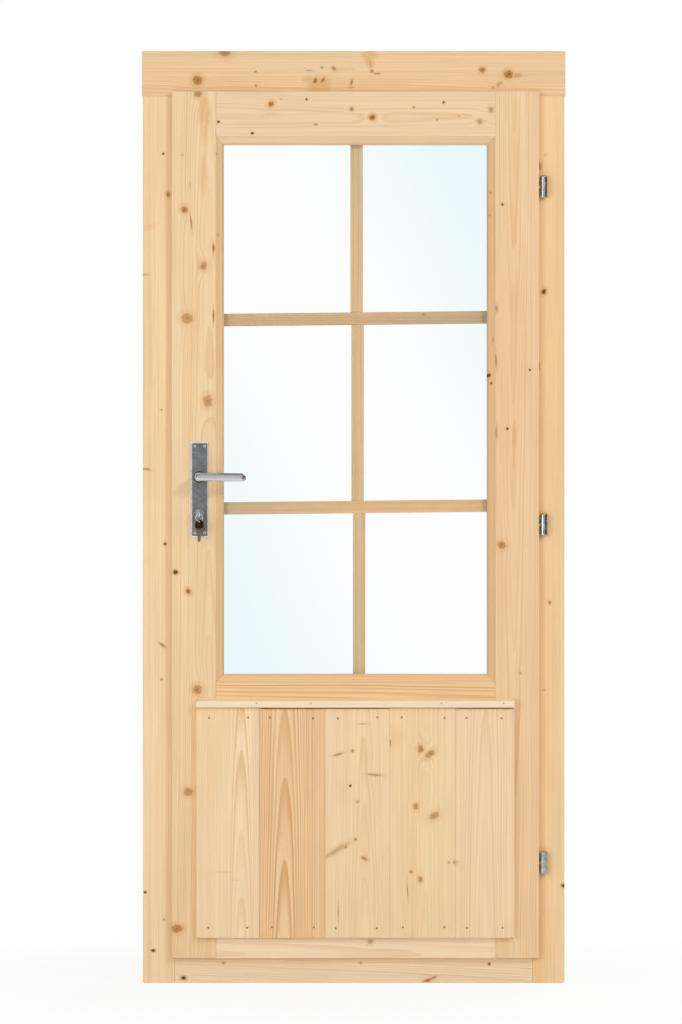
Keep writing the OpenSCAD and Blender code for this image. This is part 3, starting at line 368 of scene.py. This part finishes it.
# Frame
pine(
    "left_jamb", UPRIGHT, seed=1.3, ring=1.9, pith=(-520, 40),
    wave=0.014, contrast=0.95, blush=0.2,
    early=(245, 214, 170), late=(224, 180, 126), knots=(
        (-382, 1664, 2.2, 2.4, 0.9), (-372, 1582, 4.5, 5.5, 0.8), (-418, 1421, 6, 1.6, 0.5),
        (-386, 1150, 3, 1.5, 0.5), (-416, 1031, 8, 2.4, 0.65, -8), (-413, 1516, 13, 3.5, -0.4, 15),
        (-378.5, 881, 2.6, 2.8, 0.9),
        (-384, 678, 6.5, 2.4, 0.75, -35), (-385.5, 609, 2.2, 2.2, 0.7), (-418.5, 182, 2.6, 2, 1.0),
        (-381, 127, 2.2, 2, 0.7), (-402, 65, 3.8, 2.4, 1.0)))
pine(
    "right_jamb", UPRIGHT, seed=4.7, ring=2.3, pith=(610, 70),
    wave=0.014, contrast=0.5, blush=0.45,
    early=(241, 205, 154), late=(224, 177, 118), knots=(
        (372.5, 1638, 5, 8, 0.7), (382, 1387, 4.2, 5.4, 1.15, -30), (372.5, 1238, 1.6, 7, 0.7),
        (421.5, 195, 4, 3.6, 0.9), (384.5, 1662, 3, 2, 0.3), (377, 1860, 2, 2, 0.3),
        (393.5, 763.5, 2.6, 3.4, 0.8, 20), (383, 588, 3, 2, 0.35)))
pine(
    "head", LEVEL, seed=2.1, ring=2.6, pith=(1768, 30),
    lean=0.012, wave=0.014, contrast=0.5, blush=0.4,
    early=(235, 199, 152), late=(214, 167, 111), knots=(
        (-313.5, 1811.5, 9, 9, 0.95), (-258, 1868, 12, 9, 0.8), (-197, 1828.5, 2.6, 2, 0.7),
        (-196, 1800, 2, 3.4, 0.7), (-77, 1810, 4.4, 6, 1.0, -20), (-62, 1811, 3, 7.5, 0.8, -35),
        (-69, 1799, 13, 12, -1.0), (-88, 1812, 8, 5, -0.7), (-39.5, 1835, 5, 3.4, 0.8, -30),
        (-22, 1834, 14, 2, -0.6), (-90, 1831, 6, 1.5, 0.5),
        (-63.5, 1836.5, 2, 2, 0.8), (-4, 1807, 2.4, 5, 0.8, -12), (-6, 1797, 6, 1.6, 0.4),
        (31, 1856, 5, 14, -1.0, 12), (31, 1862, 9, 5, -0.8), (33, 1846, 2, 10, 0.5, 12),
        (37, 1830, 3, 3, 0.8), (47, 1825, 7, 2, 0.6),
        (258, 1832, 6, 5.6, 0.85, 20), (311, 1823.5, 9, 7.6, 1.0), (327, 1822, 9, 4.4, 0.4),
        (292.5, 1804, 7, 3.6, 0.45, 35), (280, 1797, 4, 3, 0.3)))
pine(
    "threshold", LEVEL, seed=6.2, ring=3.2, pith=(-30, 20),
    lean=0.04, wave=0.021, contrast=0.65, blush=0.2,
    early=(242, 216, 179), late=(222, 182, 132), knots=(
        (-341.5, 10, 5, 3.4, 1.0), (-261, 40, 3.4, 2.6, 0.6), (14, 40, 3.4, 2.6, 0.5),
        (148, 5, 9, 3, 0.85, 20), (160, 10, 6, 2, 0.7, 25), (272, 38, 2.6, 2.4, 0.9)))

# Leaf
pine(
    "left_stile", UPRIGHT, seed=3.4, ring=2.6, pith=(-290, -14),
    lean=0.012, wave=0.0154, contrast=0.6, blush=0.22,
    early=(239, 207, 162), late=(221, 173, 117), knots=(
        (-312, 1783, 7.5, 7, 0.75), (-339.5, 1551, 6.6, 6.6, 0.85), (-325.5, 1525, 1.4, 14, 0.85, 6),
        (-301, 1438, 6.4, 8.6, 0.7), (-333.5, 1333, 11, 9.6, 0.65), (-281, 1474, 1.9, 10, 1.0),
        (-281, 1338, 1.6, 12, 0.95), (-292, 1167, 8.8, 11.5, 0.65), (-357, 824.5, 4.6, 3.8, 1.0),
        (-332, 786, 4.6, 5.6, 1.0, 30), (-313.5, 589, 9.2, 9.2, 0.75), (-331.5, 384, 9.2, 8.4, 0.65),
        (-354, 110, 10.5, 8, 0.85), (-343.5, 1660, 3, 2, 0.3), (-328, 1600, 1.6, 6, 0.3),
        (-299.5, 1748, 6.5, 20, -0.8), (-299.5, 1712, 4, 16, -0.5), (-301, 1618, 5, 22, -0.6)))
pine(
    "right_stile", UPRIGHT, seed=5.9, ring=2.6, pith=(322, -12),
    lean=-0.01, wave=0.0126, contrast=0.6, blush=0.3,
    early=(238, 203, 159), late=(218, 168, 112), knots=(
        (298, 1561.5, 2.4, 2.4, 1.0), (353, 1229.5, 2, 2.2, 0.9), (308, 1112, 2.4, 2.4, 0.9),
        (323, 1365, 9, 40, 0.06), (334.5, 622, 2.4, 2.6, 0.6), (286, 1354, 3, 6.5, 0.6),
        (285, 1250, 2.4, 15, 0.6, 6), (286, 1104, 2.2, 12, 0.5), (296.5, 878.5, 7.6, 7.6, 0.75),
        (322, 1096, 2.6, 18, -1.0), (321, 1058, 1.6, 22, -0.8), (325, 1700, 5, 60, -0.45)))
pine(
    "top_rail", LEVEL, seed=7.7, ring=3.0, pith=(1738, -18),
    lean=0.008, wave=0.021, contrast=0.5, blush=0.12, shoulders=True,
    early=(238, 205, 166), late=(218, 174, 124), knots=(
        (-165.5, 1762.5, 6.4, 4.6, 0.95, 35), (-145, 1772, 3, 1.6, 0.4), (-94.5, 1772, 2.2, 2.2, 0.9),
        (-203, 1704, 2.6, 2.4, 1.0), (-271, 1727, 2.4, 2.2, 1.0), (-76, 1721.5, 3.4, 1.8, 0.8),
        (-4, 1752.5, 3.4, 4, 0.7, -30), (37.5, 1736, 6.4, 5.8, 1.0), (180.5, 1766, 2.2, 2.4, 0.9),
        (120.5, 1756, 2.4, 1.8, 0.7), (167, 1731.5, 1.8, 1.8, 0.8), (211.5, 1738.5, 2.2, 2, 0.6),
        (275, 1751, 4.4, 6.4, 0.6), (253, 1727, 5.4, 5, 0.6), (-169, 1741, 16, 5, 0.1, 12)))
pine(
    "mid_rail", LEVEL, seed=8.3, ring=4.6, pith=(560, -20),
    lean=0.016, wave=0.014, contrast=1.15, blush=0.5, shoulders=True,
    early=(241, 204, 154), late=(213, 157, 95))
pine(
    "bottom_rail", LEVEL, seed=9.6, ring=3.0, pith=(60, 10),
    lean=0.01, wave=0.014, contrast=0.55, blush=0.05, shoulders=True,
    early=(246, 220, 186), late=(229, 190, 144), knots=((33, 84, 6, 5, 0.5),))
pine(
    "bead_top", LEVEL, seed=10.4, ring=2.4, pith=(1600, -20),
    contrast=0.5, blush=0.2,
    early=(228, 196, 157), late=(206, 160, 110))
pine(
    "bead_bottom", LEVEL, seed=11.8, ring=2.6, pith=(700, -10),
    contrast=1.2, blush=0.5,
    early=(245, 206, 156), late=(216, 161, 99))
pine(
    "bead_left", UPRIGHT, seed=12.6, ring=2.4, pith=(-180, -30),
    contrast=0.65, blush=0.45,
    early=(224, 187, 140), late=(194, 144, 90), knots=(
        (-277, 1663, 1.8, 2.2, 0.9), (-272, 1500, 1.6, 2, 0.6)))
pine(
    "bead_right", UPRIGHT, seed=13.5, ring=2.4, pith=(390, -30),
    contrast=0.65, blush=0.45,
    early=(222, 184, 139), late=(190, 140, 88), knots=(
        (271, 1219, 3.4, 3.6, 0.9), (275.5, 1203, 2.2, 2.2, 0.9), (274, 1585, 2, 2.4, 0.6),
        (273, 1540, 1.8, 2.2, 0.6), (279, 1290, 2, 6, 0.4)))

# Panel
pine(
    "panel_board_1", UPRIGHT, seed=14.2, ring=2.9, pith=(-226, -12),
    lean=0.02, wave=0.014, contrast=0.85, blush=0.3, squeeze=0.6,
    early=(247, 218, 178), late=(225, 180, 124), knots=((-262, 224, 16, 1.6, 0.14), (-236, 208, 9, 1.6, 0.1)))
pine(
    "panel_board_2", UPRIGHT, seed=15.6, ring=5.0, pith=(-139, -34),
    lean=0.031, wave=0.012, contrast=1.1, blush=0.3, squeeze=0.3,
    early=(242, 207, 161), late=(209, 150, 90), knots=((-139, 420, 9, 90, -0.5), (-169, 330, 5, 160, -0.4)))
pine(
    "panel_board_3", UPRIGHT, seed=16.9, ring=2.5, pith=(20, -30),
    lean=0.015, wave=0.0112, contrast=0.6, blush=0.1,
    early=(243, 214, 173), late=(223, 179, 126), knots=(
        (-31, 460, 10, 2.2, 0.6, 15), (-2, 467, 3, 2.8, 0.7), (18, 521, 10, 1.6, 0.35),
        (41, 419, 14, 2.2, 0.55, -6), (-7, 397, 2.1, 2.1, 1.0), (8, 365, 3, 2.8, 0.5),
        (3.5, 290, 2.6, 2.6, 0.8), (-34, 268, 30, 5, 0.4, 32), (-17, 275, 4, 3, 0.6, 30),
        (21, 252, 6, 3.2, 0.7, -25), (-31, 146, 0.9, 16, 0.6)))
pine(
    "panel_board_4", UPRIGHT, seed=17.7, ring=2.5, pith=(142, -16),
    lean=0.006, wave=0.0126, contrast=0.5, blush=0.15, squeeze=0.4,
    early=(243, 213, 170), late=(222, 177, 122), knots=(
        (134, 471, 6, 7.4, 0.75), (153, 461, 10.5, 6, 0.7, 38), (124.5, 356, 5, 6, 0.7),
        (161, 337, 10.5, 5.8, 0.6, 32), (115, 225, 2.8, 2.8, 0.8), (133.5, 210, 4, 5.2, 0.8),
        (107.5, 188, 1, 15, 0.7, 4), (190.5, 244, 2.4, 2, 0.6), (73, 484, 1.8, 8, 0.7),
        (78, 498, 12, 12, -0.3), (200.5, 244, 2, 2.6, 0.7)))
pine(
    "panel_board_5", UPRIGHT, seed=18.4, ring=2.8, pith=(262, -22),
    lean=0.01, wave=0.014, contrast=0.6, blush=0.12,
    early=(242, 212, 172), late=(225, 184, 134), knots=((206, 244, 3, 4, 0.3),))
pine(
    "drip_strip", LEVEL, seed=19.1, ring=2.6, pith=(640, -40),
    wave=0.01, contrast=0.35, blush=0.0,
    early=(249, 226, 190), late=(235, 200, 150))

# Glazing bars
for number, (bar, upright, offset, early, late) in enumerate((
        ("cross_bar_upper", LEVEL, 1300, (214, 179, 133), (182, 140, 92)),
        ("cross_bar_lower", LEVEL, 900, (231, 192, 142), (200, 152, 100)),
        ("upright_bar_top", UPRIGHT, 60, (225, 190, 142), (198, 154, 102)),
        ("upright_bar_middle", UPRIGHT, -60, (223, 190, 143), (197, 155, 104)),
        ("upright_bar_bottom", UPRIGHT, 80, (223, 190, 143), (197, 155, 104)))):
    pine(
        bar, upright, seed=21.0 + 1.7 * number, ring=2.4, pith=(offset, 10),
        contrast=0.85, blush=0.1,
        early=early, late=late,
        knots=((140, 1342, 2.4, 2.2, 0.8),) if bar == "cross_bar_upper" else ())


# Places and sizes on the lock
LOCK_X, LEVER_Z = middle("spindle").x, middle("spindle").z
LEVER_RADIUS = LOCK_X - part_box("outer_lever")[0].x
COLLAR_RADIUS = 11.5 * MM
PLATE_Z = middle("outer_backplate").z
PLATE_HALF = half_size("outer_backplate")
# The plate's screws stand this far from its middle
SCREW_X, SCREW_Z = 9.8 * MM, PLATE_HALF.z - 8.5 * MM
SCREW_HEAD_RADIUS = half_size("backplate_screws").x - SCREW_X
# The spare key's bow is round, and hangs above its blade
BOW_DIAMETER = 22.0 * MM
BOW_END_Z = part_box("spare_key")[1].z - BOW_DIAMETER


def metal(name, colour, worn, stretch, rough, metallic=1.0, bump=0.15, marks=None):
    """Worn metal: two tones, streaks of the given stretch, and a roughness that wanders.
    marks(graph, place, colour) adds what is found at set places on the piece."""
    material, graph, shader, place = new_material(name)
    streak = graph.noise(place, stretch, 3.0, 0.6)
    cloud = graph.noise(place, (70.0, 70.0, 70.0), 3.0, 0.6)
    share = graph.math("ADD", graph.math("MULTIPLY", streak, 0.6), graph.math("MULTIPLY", cloud, 0.4))
    base = graph.mix(graph.step(share, 0.3, 0.7), tone(*colour), tone(*worn))
    graph.put(shader.inputs["Base Color"], marks(graph, place, base) if marks else base)
    graph.put(shader.inputs["Roughness"], graph.spread(share, 0.25, 0.75, rough[0], rough[1]))
    shader.inputs["Metallic"].default_value = metallic
    graph.put(shader.inputs["Normal"], graph.bump(streak, bump, 0.1 * MM))
    return material


def plate_marks(graph, place, base):
    """A painted highlight along the backplate's rim, painted shade in bands just inside the rim at its ends,
    and a dark ring round its lever's collar.
    """
    x, z = graph.front(place)
    across, up = graph.off(x, LOCK_X), graph.off(z, PLATE_Z)
    # Painted highlight along the plate's rim, weaker along its sides and broken up by noise
    side = graph.step(across, PLATE_HALF.x - 2.2 * MM, PLATE_HALF.x - 1.3 * MM)
    end = graph.step(up, PLATE_HALF.z - 3.3 * MM, PLATE_HALF.z - 2.3 * MM)
    painted_highlight_patches = graph.spread(graph.noise(place, (160.0, 160.0, 160.0), 2.0), 0.3, 0.7, 0.55, 1.0)
    painted_rim = graph.math("MULTIPLY", graph.math("MAXIMUM", graph.math("MULTIPLY", side, 0.8), end), painted_highlight_patches)
    # Painted shade in a band just inside the rim at each end
    painted_end_shade = graph.step(up, PLATE_HALF.z - 7.0 * MM, PLATE_HALF.z - 4.0 * MM)
    base = graph.mix(graph.math("MULTIPLY", painted_end_shade, 0.5), base, tone(62, 63, 64))
    base = graph.mix(painted_rim, base, tone(248, 248, 246))
    collar = graph.far(across, graph.off(z, LEVER_Z))
    return graph.mix(graph.step(collar, COLLAR_RADIUS + 0.6 * MM, COLLAR_RADIUS - 0.1 * MM), base,
                     tone(58, 60, 62))


def screw_marks(graph, place, base):
    """Painted shade in the cross recess of each backplate screw, inside a painted highlight ring, and painted
    shade at its head's edge.
    """
    x, z = graph.front(place)
    across = graph.math("SUBTRACT", graph.off(x, LOCK_X), SCREW_X)
    up = graph.math("SUBTRACT", graph.off(z, PLATE_Z), SCREW_Z)
    slot = graph.math("MINIMUM", graph.math("ABSOLUTE", graph.math("ADD", across, up)),
                      graph.math("ABSOLUTE", graph.math("SUBTRACT", across, up)))
    away = graph.far(across, up)
    # Painted shade where the cross recess lies
    painted_recess_shade = graph.math("MULTIPLY", graph.step(slot, 1.2 * MM, 0.6 * MM),
                        graph.step(away, 1.9 * MM, 1.5 * MM))
    # A painted highlight ring round the recess
    ring = graph.math("MULTIPLY", graph.step(away, 1.4 * MM, 1.8 * MM),
                      graph.step(away, 2.7 * MM, 2.3 * MM))
    base = graph.mix(ring, base, tone(246, 246, 244))
    # Painted shade at the head's edge
    edge = graph.step(away, SCREW_HEAD_RADIUS - 0.75 * MM, SCREW_HEAD_RADIUS - 0.35 * MM)
    dark = graph.math("MAXIMUM", painted_recess_shade, edge)
    return graph.mix(graph.math("MULTIPLY", dark, 0.9), base, tone(44, 44, 42))


def spare_marks(graph, place, base):
    """Brighter brass on the blade of the spare key, below its darker bow."""
    height = graph.split(place)["Z"]
    blade = graph.step(height, BOW_END_Z + 6.0 * MM, BOW_END_Z - 1.0 * MM)
    return graph.mix(blade, base, tone(222, 202, 158))


def lever_marks(graph, place, base):
    """The lever's face with a painted reflection, darker at the top and brighter towards its under side, a
    painted highlight on its upper edge near its root, and painted shade on the rim of its round end."""
    x, z = graph.front(place)
    # Painted reflection: the face grows brighter towards its under side
    painted_reflection_grade = graph.step(z, LEVER_Z + 8.0 * MM, LEVER_Z - 7.0 * MM, 0.0, 0.7)
    base = graph.mix(painted_reflection_grade, base, tone(230, 231, 232))
    # Painted highlight along the upper edge near the lever's root
    edge = graph.math("MULTIPLY", graph.step(graph.off(z, LEVER_Z + 5.8 * MM), 1.6 * MM, 0.5 * MM),
                      graph.step(x, LOCK_X + 55.0 * MM, LOCK_X + 35.0 * MM, 0.0, 0.8))
    base = graph.mix(edge, base, tone(250, 250, 250))
    # Painted shade on the rim of the round end
    round_end = graph.far(graph.off(x, LOCK_X), graph.off(z, LEVER_Z))
    painted_rim = graph.math("MULTIPLY", graph.step(round_end, LEVER_RADIUS - 0.6 * MM, LEVER_RADIUS + 0.6 * MM),
                     graph.step(x, LOCK_X + 2.0 * MM, LOCK_X - 3.0 * MM))
    return graph.mix(graph.math("MULTIPLY", painted_rim, 0.9), base, tone(52, 54, 56))


def nail_marks(graph, place, base):
    """Pale filler over the nails of the drip strip."""
    strip_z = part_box("drip_strip")[0].z
    height = graph.split(place)["Z"]
    filler = graph.step(height, strip_z - 6.0 * MM, strip_z - 2.0 * MM, 0.0, 0.85)
    return graph.mix(filler, base, tone(226, 194, 148))


steel = metal("plate_steel", (104, 108, 111), (134, 137, 139), (150.0, 150.0, 260.0), (0.3, 0.48),
              marks=plate_marks)
satin = metal("lever_satin", (164, 169, 174), (178, 182, 186), (25.0, 300.0, 300.0), (0.22, 0.32), bump=0.01,
              marks=lever_marks)
hinge_zinc = metal("hinge_zinc", (150, 149, 140), (204, 203, 195), (240.0, 240.0, 90.0), (0.16, 0.3))
zinc = metal("zinc", (176, 178, 174), (212, 214, 210), (240.0, 240.0, 240.0), (0.2, 0.36))
screw_zinc = metal("screw_zinc", (176, 178, 176), (214, 216, 214), (300.0, 300.0, 300.0), (0.25, 0.4),
                   marks=screw_marks)
nickel = metal("nickel", (206, 204, 196), (228, 226, 218), (500.0, 500.0, 500.0), (0.14, 0.28))
brass = metal("two_tone_brass", (72, 61, 27), (98, 84, 42), (300.0, 300.0, 300.0), (0.22, 0.4),
              marks=spare_marks)
iron = metal("nail_iron", (140, 104, 68), (172, 134, 94), (900.0, 900.0, 900.0), (0.5, 0.7), metallic=0.5,
             marks=nail_marks)
dark_steel = metal("lock_steel", (150, 152, 152), (176, 178, 178), (300.0, 300.0, 900.0), (0.32, 0.5))

dress(["outer_backplate", "inner_backplate"], steel)
dress(["outer_lever", "inner_lever"], satin)
dress([name for name in nodes if name.startswith("hinge_")], hinge_zinc)
dress(["frame_screws", "strike_plate", "strike_screws", "faceplate_screws", "cylinder_screw",
       "lever_grub_screws"], zinc)
dress(["backplate_screws"], screw_zinc)
dress(["lock_case", "lock_cover", "lock_faceplate", "spindle", "lock_follower", "latch_bolt", "deadbolt",
       "lock_cylinder", "cylinder_plug"], dark_steel)
dress(["key", "key_ring"], nickel)
dress(["spare_key"], brass)
dress(["panel_nails", "bead_pins"], iron)


# The pane's corners count as reached this far from its edges
CORNER_INSET = 8.3 * MM


def clear_glass():
    """Clear sheet glass: light goes straight through, it mirrors a little, and a painted sky reflection tints
    two corners bluish.
    """
    material, graph, shader, place = new_material("clear_glass")
    x, z = graph.front(place)
    centre, half = middle("glass_pane"), half_size("glass_pane")
    across = graph.math("DIVIDE", graph.math("SUBTRACT", x, centre.x), half.x - CORNER_INSET)
    up = graph.math("DIVIDE", graph.math("SUBTRACT", z, centre.z), half.z - CORNER_INSET)
    corner = graph.math("ADD", across, up)
    # Painted sky reflection: a blue tint towards two corners of the pane, with a little noise
    sheen_wobble = graph.swing(place, (2.0, 2.0, 2.0))
    blue = graph.step(graph.math("MULTIPLY_ADD", sheen_wobble, 0.5, graph.math("ABSOLUTE", corner)), 0.25, 2.0)
    through = graph.node("ShaderNodeBsdfTransparent")
    graph.put(through.inputs["Color"], graph.mix(blue, tone(255, 255, 255), tone(244, 252, 254)))
    mirror = graph.node("ShaderNodeBsdfGlossy")
    mirror.inputs["Roughness"].default_value = 0.03
    both = graph.node("ShaderNodeMixShader")
    front = graph.math("SUBTRACT", 1.0, graph.node("ShaderNodeNewGeometry").outputs["Backfacing"])
    graph.put(both.inputs[0], graph.math("MULTIPLY", front, graph.node("ShaderNodeFresnel").outputs[0]))
    graph.put(both.inputs[1], through.outputs[0])
    graph.put(both.inputs[2], mirror.outputs[0])
    material.node_tree.nodes.remove(shader)
    output = material.node_tree.nodes["Material Output"]
    graph.put(output.inputs["Surface"], both.outputs[0])
    return material


dress(["glass_pane"], clear_glass())


# The shortest and bluntest edge that is rounded, and what counts as one point and as one flat face
SHORTEST_EDGE, SHARP_ANGLE = 8.0 * MM, math.radians(40)
WELD_REACH, FLAT_ANGLE = 0.01 * MM, math.radians(0.5)


def long_edges():
    """Marks the long sharp edges of a piece for rounding, and leaves the rims of its holes as they are."""
    graph, given, out = new_group(
        "long_edges", [("Piece", "Geometry")], [("Piece", "Geometry")], "GeometryNodeTree")
    ends = graph.node("GeometryNodeInputMeshEdgeVertices").outputs
    length = graph.vector("LENGTH", graph.vector("SUBTRACT", ends["Position 1"], ends["Position 2"]))
    angle = graph.node("GeometryNodeInputMeshEdgeAngle").outputs["Unsigned Angle"]
    mark = graph.node("GeometryNodeStoreNamedAttribute", data_type="FLOAT", domain="EDGE")
    mark.inputs["Name"].default_value = "bevel_weight_edge"
    graph.put(mark.inputs["Geometry"], given["Piece"])
    graph.put(mark.inputs["Value"], graph.math("MULTIPLY", graph.math("GREATER_THAN", length, SHORTEST_EDGE),
                                               graph.math("GREATER_THAN", angle, SHARP_ANGLE)))
    graph.put(out["Piece"], mark.outputs["Geometry"])
    return graph.tree


LONG_EDGES = long_edges()


def round_edges(node_names, width):
    """Rounds the long edges of sawn pieces."""
    for node_name in node_names:
        piece = nodes[node_name]
        weld = piece.modifiers.new("weld", "WELD")
        weld.merge_threshold = WELD_REACH
        flat = piece.modifiers.new("flat", "DECIMATE")
        flat.decimate_type = "DISSOLVE"
        flat.angle_limit = FLAT_ANGLE
        marks = piece.modifiers.new("marks", "NODES")
        marks.node_group = LONG_EDGES
        bevel = piece.modifiers.new("bevel", "BEVEL")
        bevel.width = width
        bevel.segments = 2
        bevel.limit_method = "WEIGHT"
        bevel.use_clamp_overlap = False


round_edges(("left_jamb", "head", "threshold"), width=1.2 * MM)
round_edges((
    "right_jamb", "left_stile", "right_stile", "top_rail", "mid_rail", "bottom_rail",
    "bead_top", "bead_bottom", "bead_left", "bead_right", "cross_bar_upper", "cross_bar_lower",
    "upright_bar_top", "upright_bar_middle", "upright_bar_bottom"), width=0.8 * MM)


def seen_by_eye(graph):
    """One for rays from the camera, and for those that metal and glass send on, and nought for light."""
    path = graph.node("ShaderNodeLightPath").outputs
    return graph.math("MAXIMUM", path["Is Camera Ray"],
                      graph.math("MAXIMUM", path["Is Glossy Ray"], path["Is Transmission Ray"]))


def pale_floor():
    """A pale floor that looks white away from the object, and keeps a soft shadow near it."""
    material, graph, shader, place = new_material("pale_floor")
    graph.put(shader.inputs["Base Color"], graph.mix(
        graph.noise(place, (3.0, 3.0, 3.0)), tone(236, 236, 236), tone(242, 242, 242)))
    shader.inputs["Roughness"].default_value = 0.9
    glow = graph.node("ShaderNodeEmission")
    blend = graph.node("ShaderNodeMixShader")
    away = graph.vector("LENGTH", graph.vector("MULTIPLY", place, (1.0, 1.4, 0.0)))
    shine = graph.step(away, 0.5, 1.5, 0.88, 1.0)
    graph.put(blend.inputs[0], graph.math("MULTIPLY", seen_by_eye(graph), shine))
    graph.put(blend.inputs[1], shader.outputs[0])
    graph.put(blend.inputs[2], glow.outputs[0])
    graph.put(material.node_tree.nodes["Material Output"].inputs["Surface"], blend.outputs[0])
    return material


def add_floor(reach):
    mesh = bpy.data.meshes.new("floor")
    mesh.from_pydata([(-reach, -reach, 0), (reach, -reach, 0), (reach, reach, 0), (-reach, reach, 0)], [],
                     [(0, 1, 2, 3)])
    mesh.materials.append(pale_floor())
    floor = bpy.data.objects.new("floor", mesh)
    scene.collection.objects.link(floor)


def room_level(graph):
    """The room that metal mirrors: white behind the object, greyer in front, dark at the sides, dim above."""
    x, y, z = graph.split(graph.node("ShaderNodeTexCoord").outputs["Generated"])
    level = graph.math("MULTIPLY", graph.step(y, -0.2, 0.3, 0.78, 1.0),
                       graph.step(graph.math("ABSOLUTE", x), 0.25, 0.65, 1.0, 0.1))
    overhead = graph.step(z, 0.15, 0.75)
    return graph.math("ADD", graph.math("MULTIPLY", level, graph.math("SUBTRACT", 1.0, overhead)),
                      graph.math("MULTIPLY", overhead, 0.4))


def add_world(strength):
    """Soft even light, white to the eye."""
    world = bpy.data.worlds.new("studio")
    scene.world = world
    world.use_nodes = True
    graph = Graph(world.node_tree)
    soft = world.node_tree.nodes["Background"]
    soft.inputs["Color"].default_value = (1.0, 1.0, 1.0, 1.0)
    soft.inputs["Strength"].default_value = strength
    white = graph.node("ShaderNodeBackground")
    white.inputs["Color"].default_value = (1.0, 1.0, 1.0, 1.0)
    camera_ray = graph.node("ShaderNodeLightPath").outputs["Is Camera Ray"]
    graph.put(white.inputs["Strength"], graph.math("MAXIMUM", room_level(graph), camera_ray))
    pick = graph.node("ShaderNodeMixShader")
    graph.put(pick.inputs[0], seen_by_eye(graph))
    graph.put(pick.inputs[1], soft.outputs[0])
    graph.put(pick.inputs[2], white.outputs[0])
    graph.put(world.node_tree.nodes["World Output"].inputs["Surface"], pick.outputs[0])


def add_lamp(name, place, aim, size, power):
    light = bpy.data.lights.new(name, "AREA")
    light.shape = "DISK"
    light.size = size
    light.energy = power
    lamp = bpy.data.objects.new(name, light)
    scene.collection.objects.link(lamp)
    lamp.location = place
    lamp.rotation_euler = (Vector(aim) - Vector(place)).to_track_quat("-Z", "Y").to_euler()


def add_camera(distance, view_height, x, z):
    """A camera square on to the frame's face, so far before it, that sees this height there."""
    data = bpy.data.cameras.new("camera")
    data.sensor_fit = "VERTICAL"
    data.angle_y = 2 * math.atan(view_height / 2 / distance)
    camera = bpy.data.objects.new("camera", data)
    scene.collection.objects.link(camera)
    camera.location = (x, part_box("head")[0].y - distance, z)
    camera.rotation_euler = (math.radians(90), 0, 0)
    scene.camera = camera


add_floor(reach=6)
add_world(strength=0.57)
add_lamp("main_lamp", (2.9, -3.6, 3.2), aim=(0, 0, 0.75), size=0.9, power=65)
add_lamp("fill_lamp", (-2.6, -3.6, 1.2), aim=(0, 0, 0.7), size=2.0, power=44)
add_lamp("rear_lamp", (1.8, 3.6, 2.4), aim=(0, 0, 0.9), size=1.6, power=45)
add_camera(distance=9.0, view_height=2.055, x=-0.0254, z=0.945)
scene.view_settings.view_transform = "Standard"
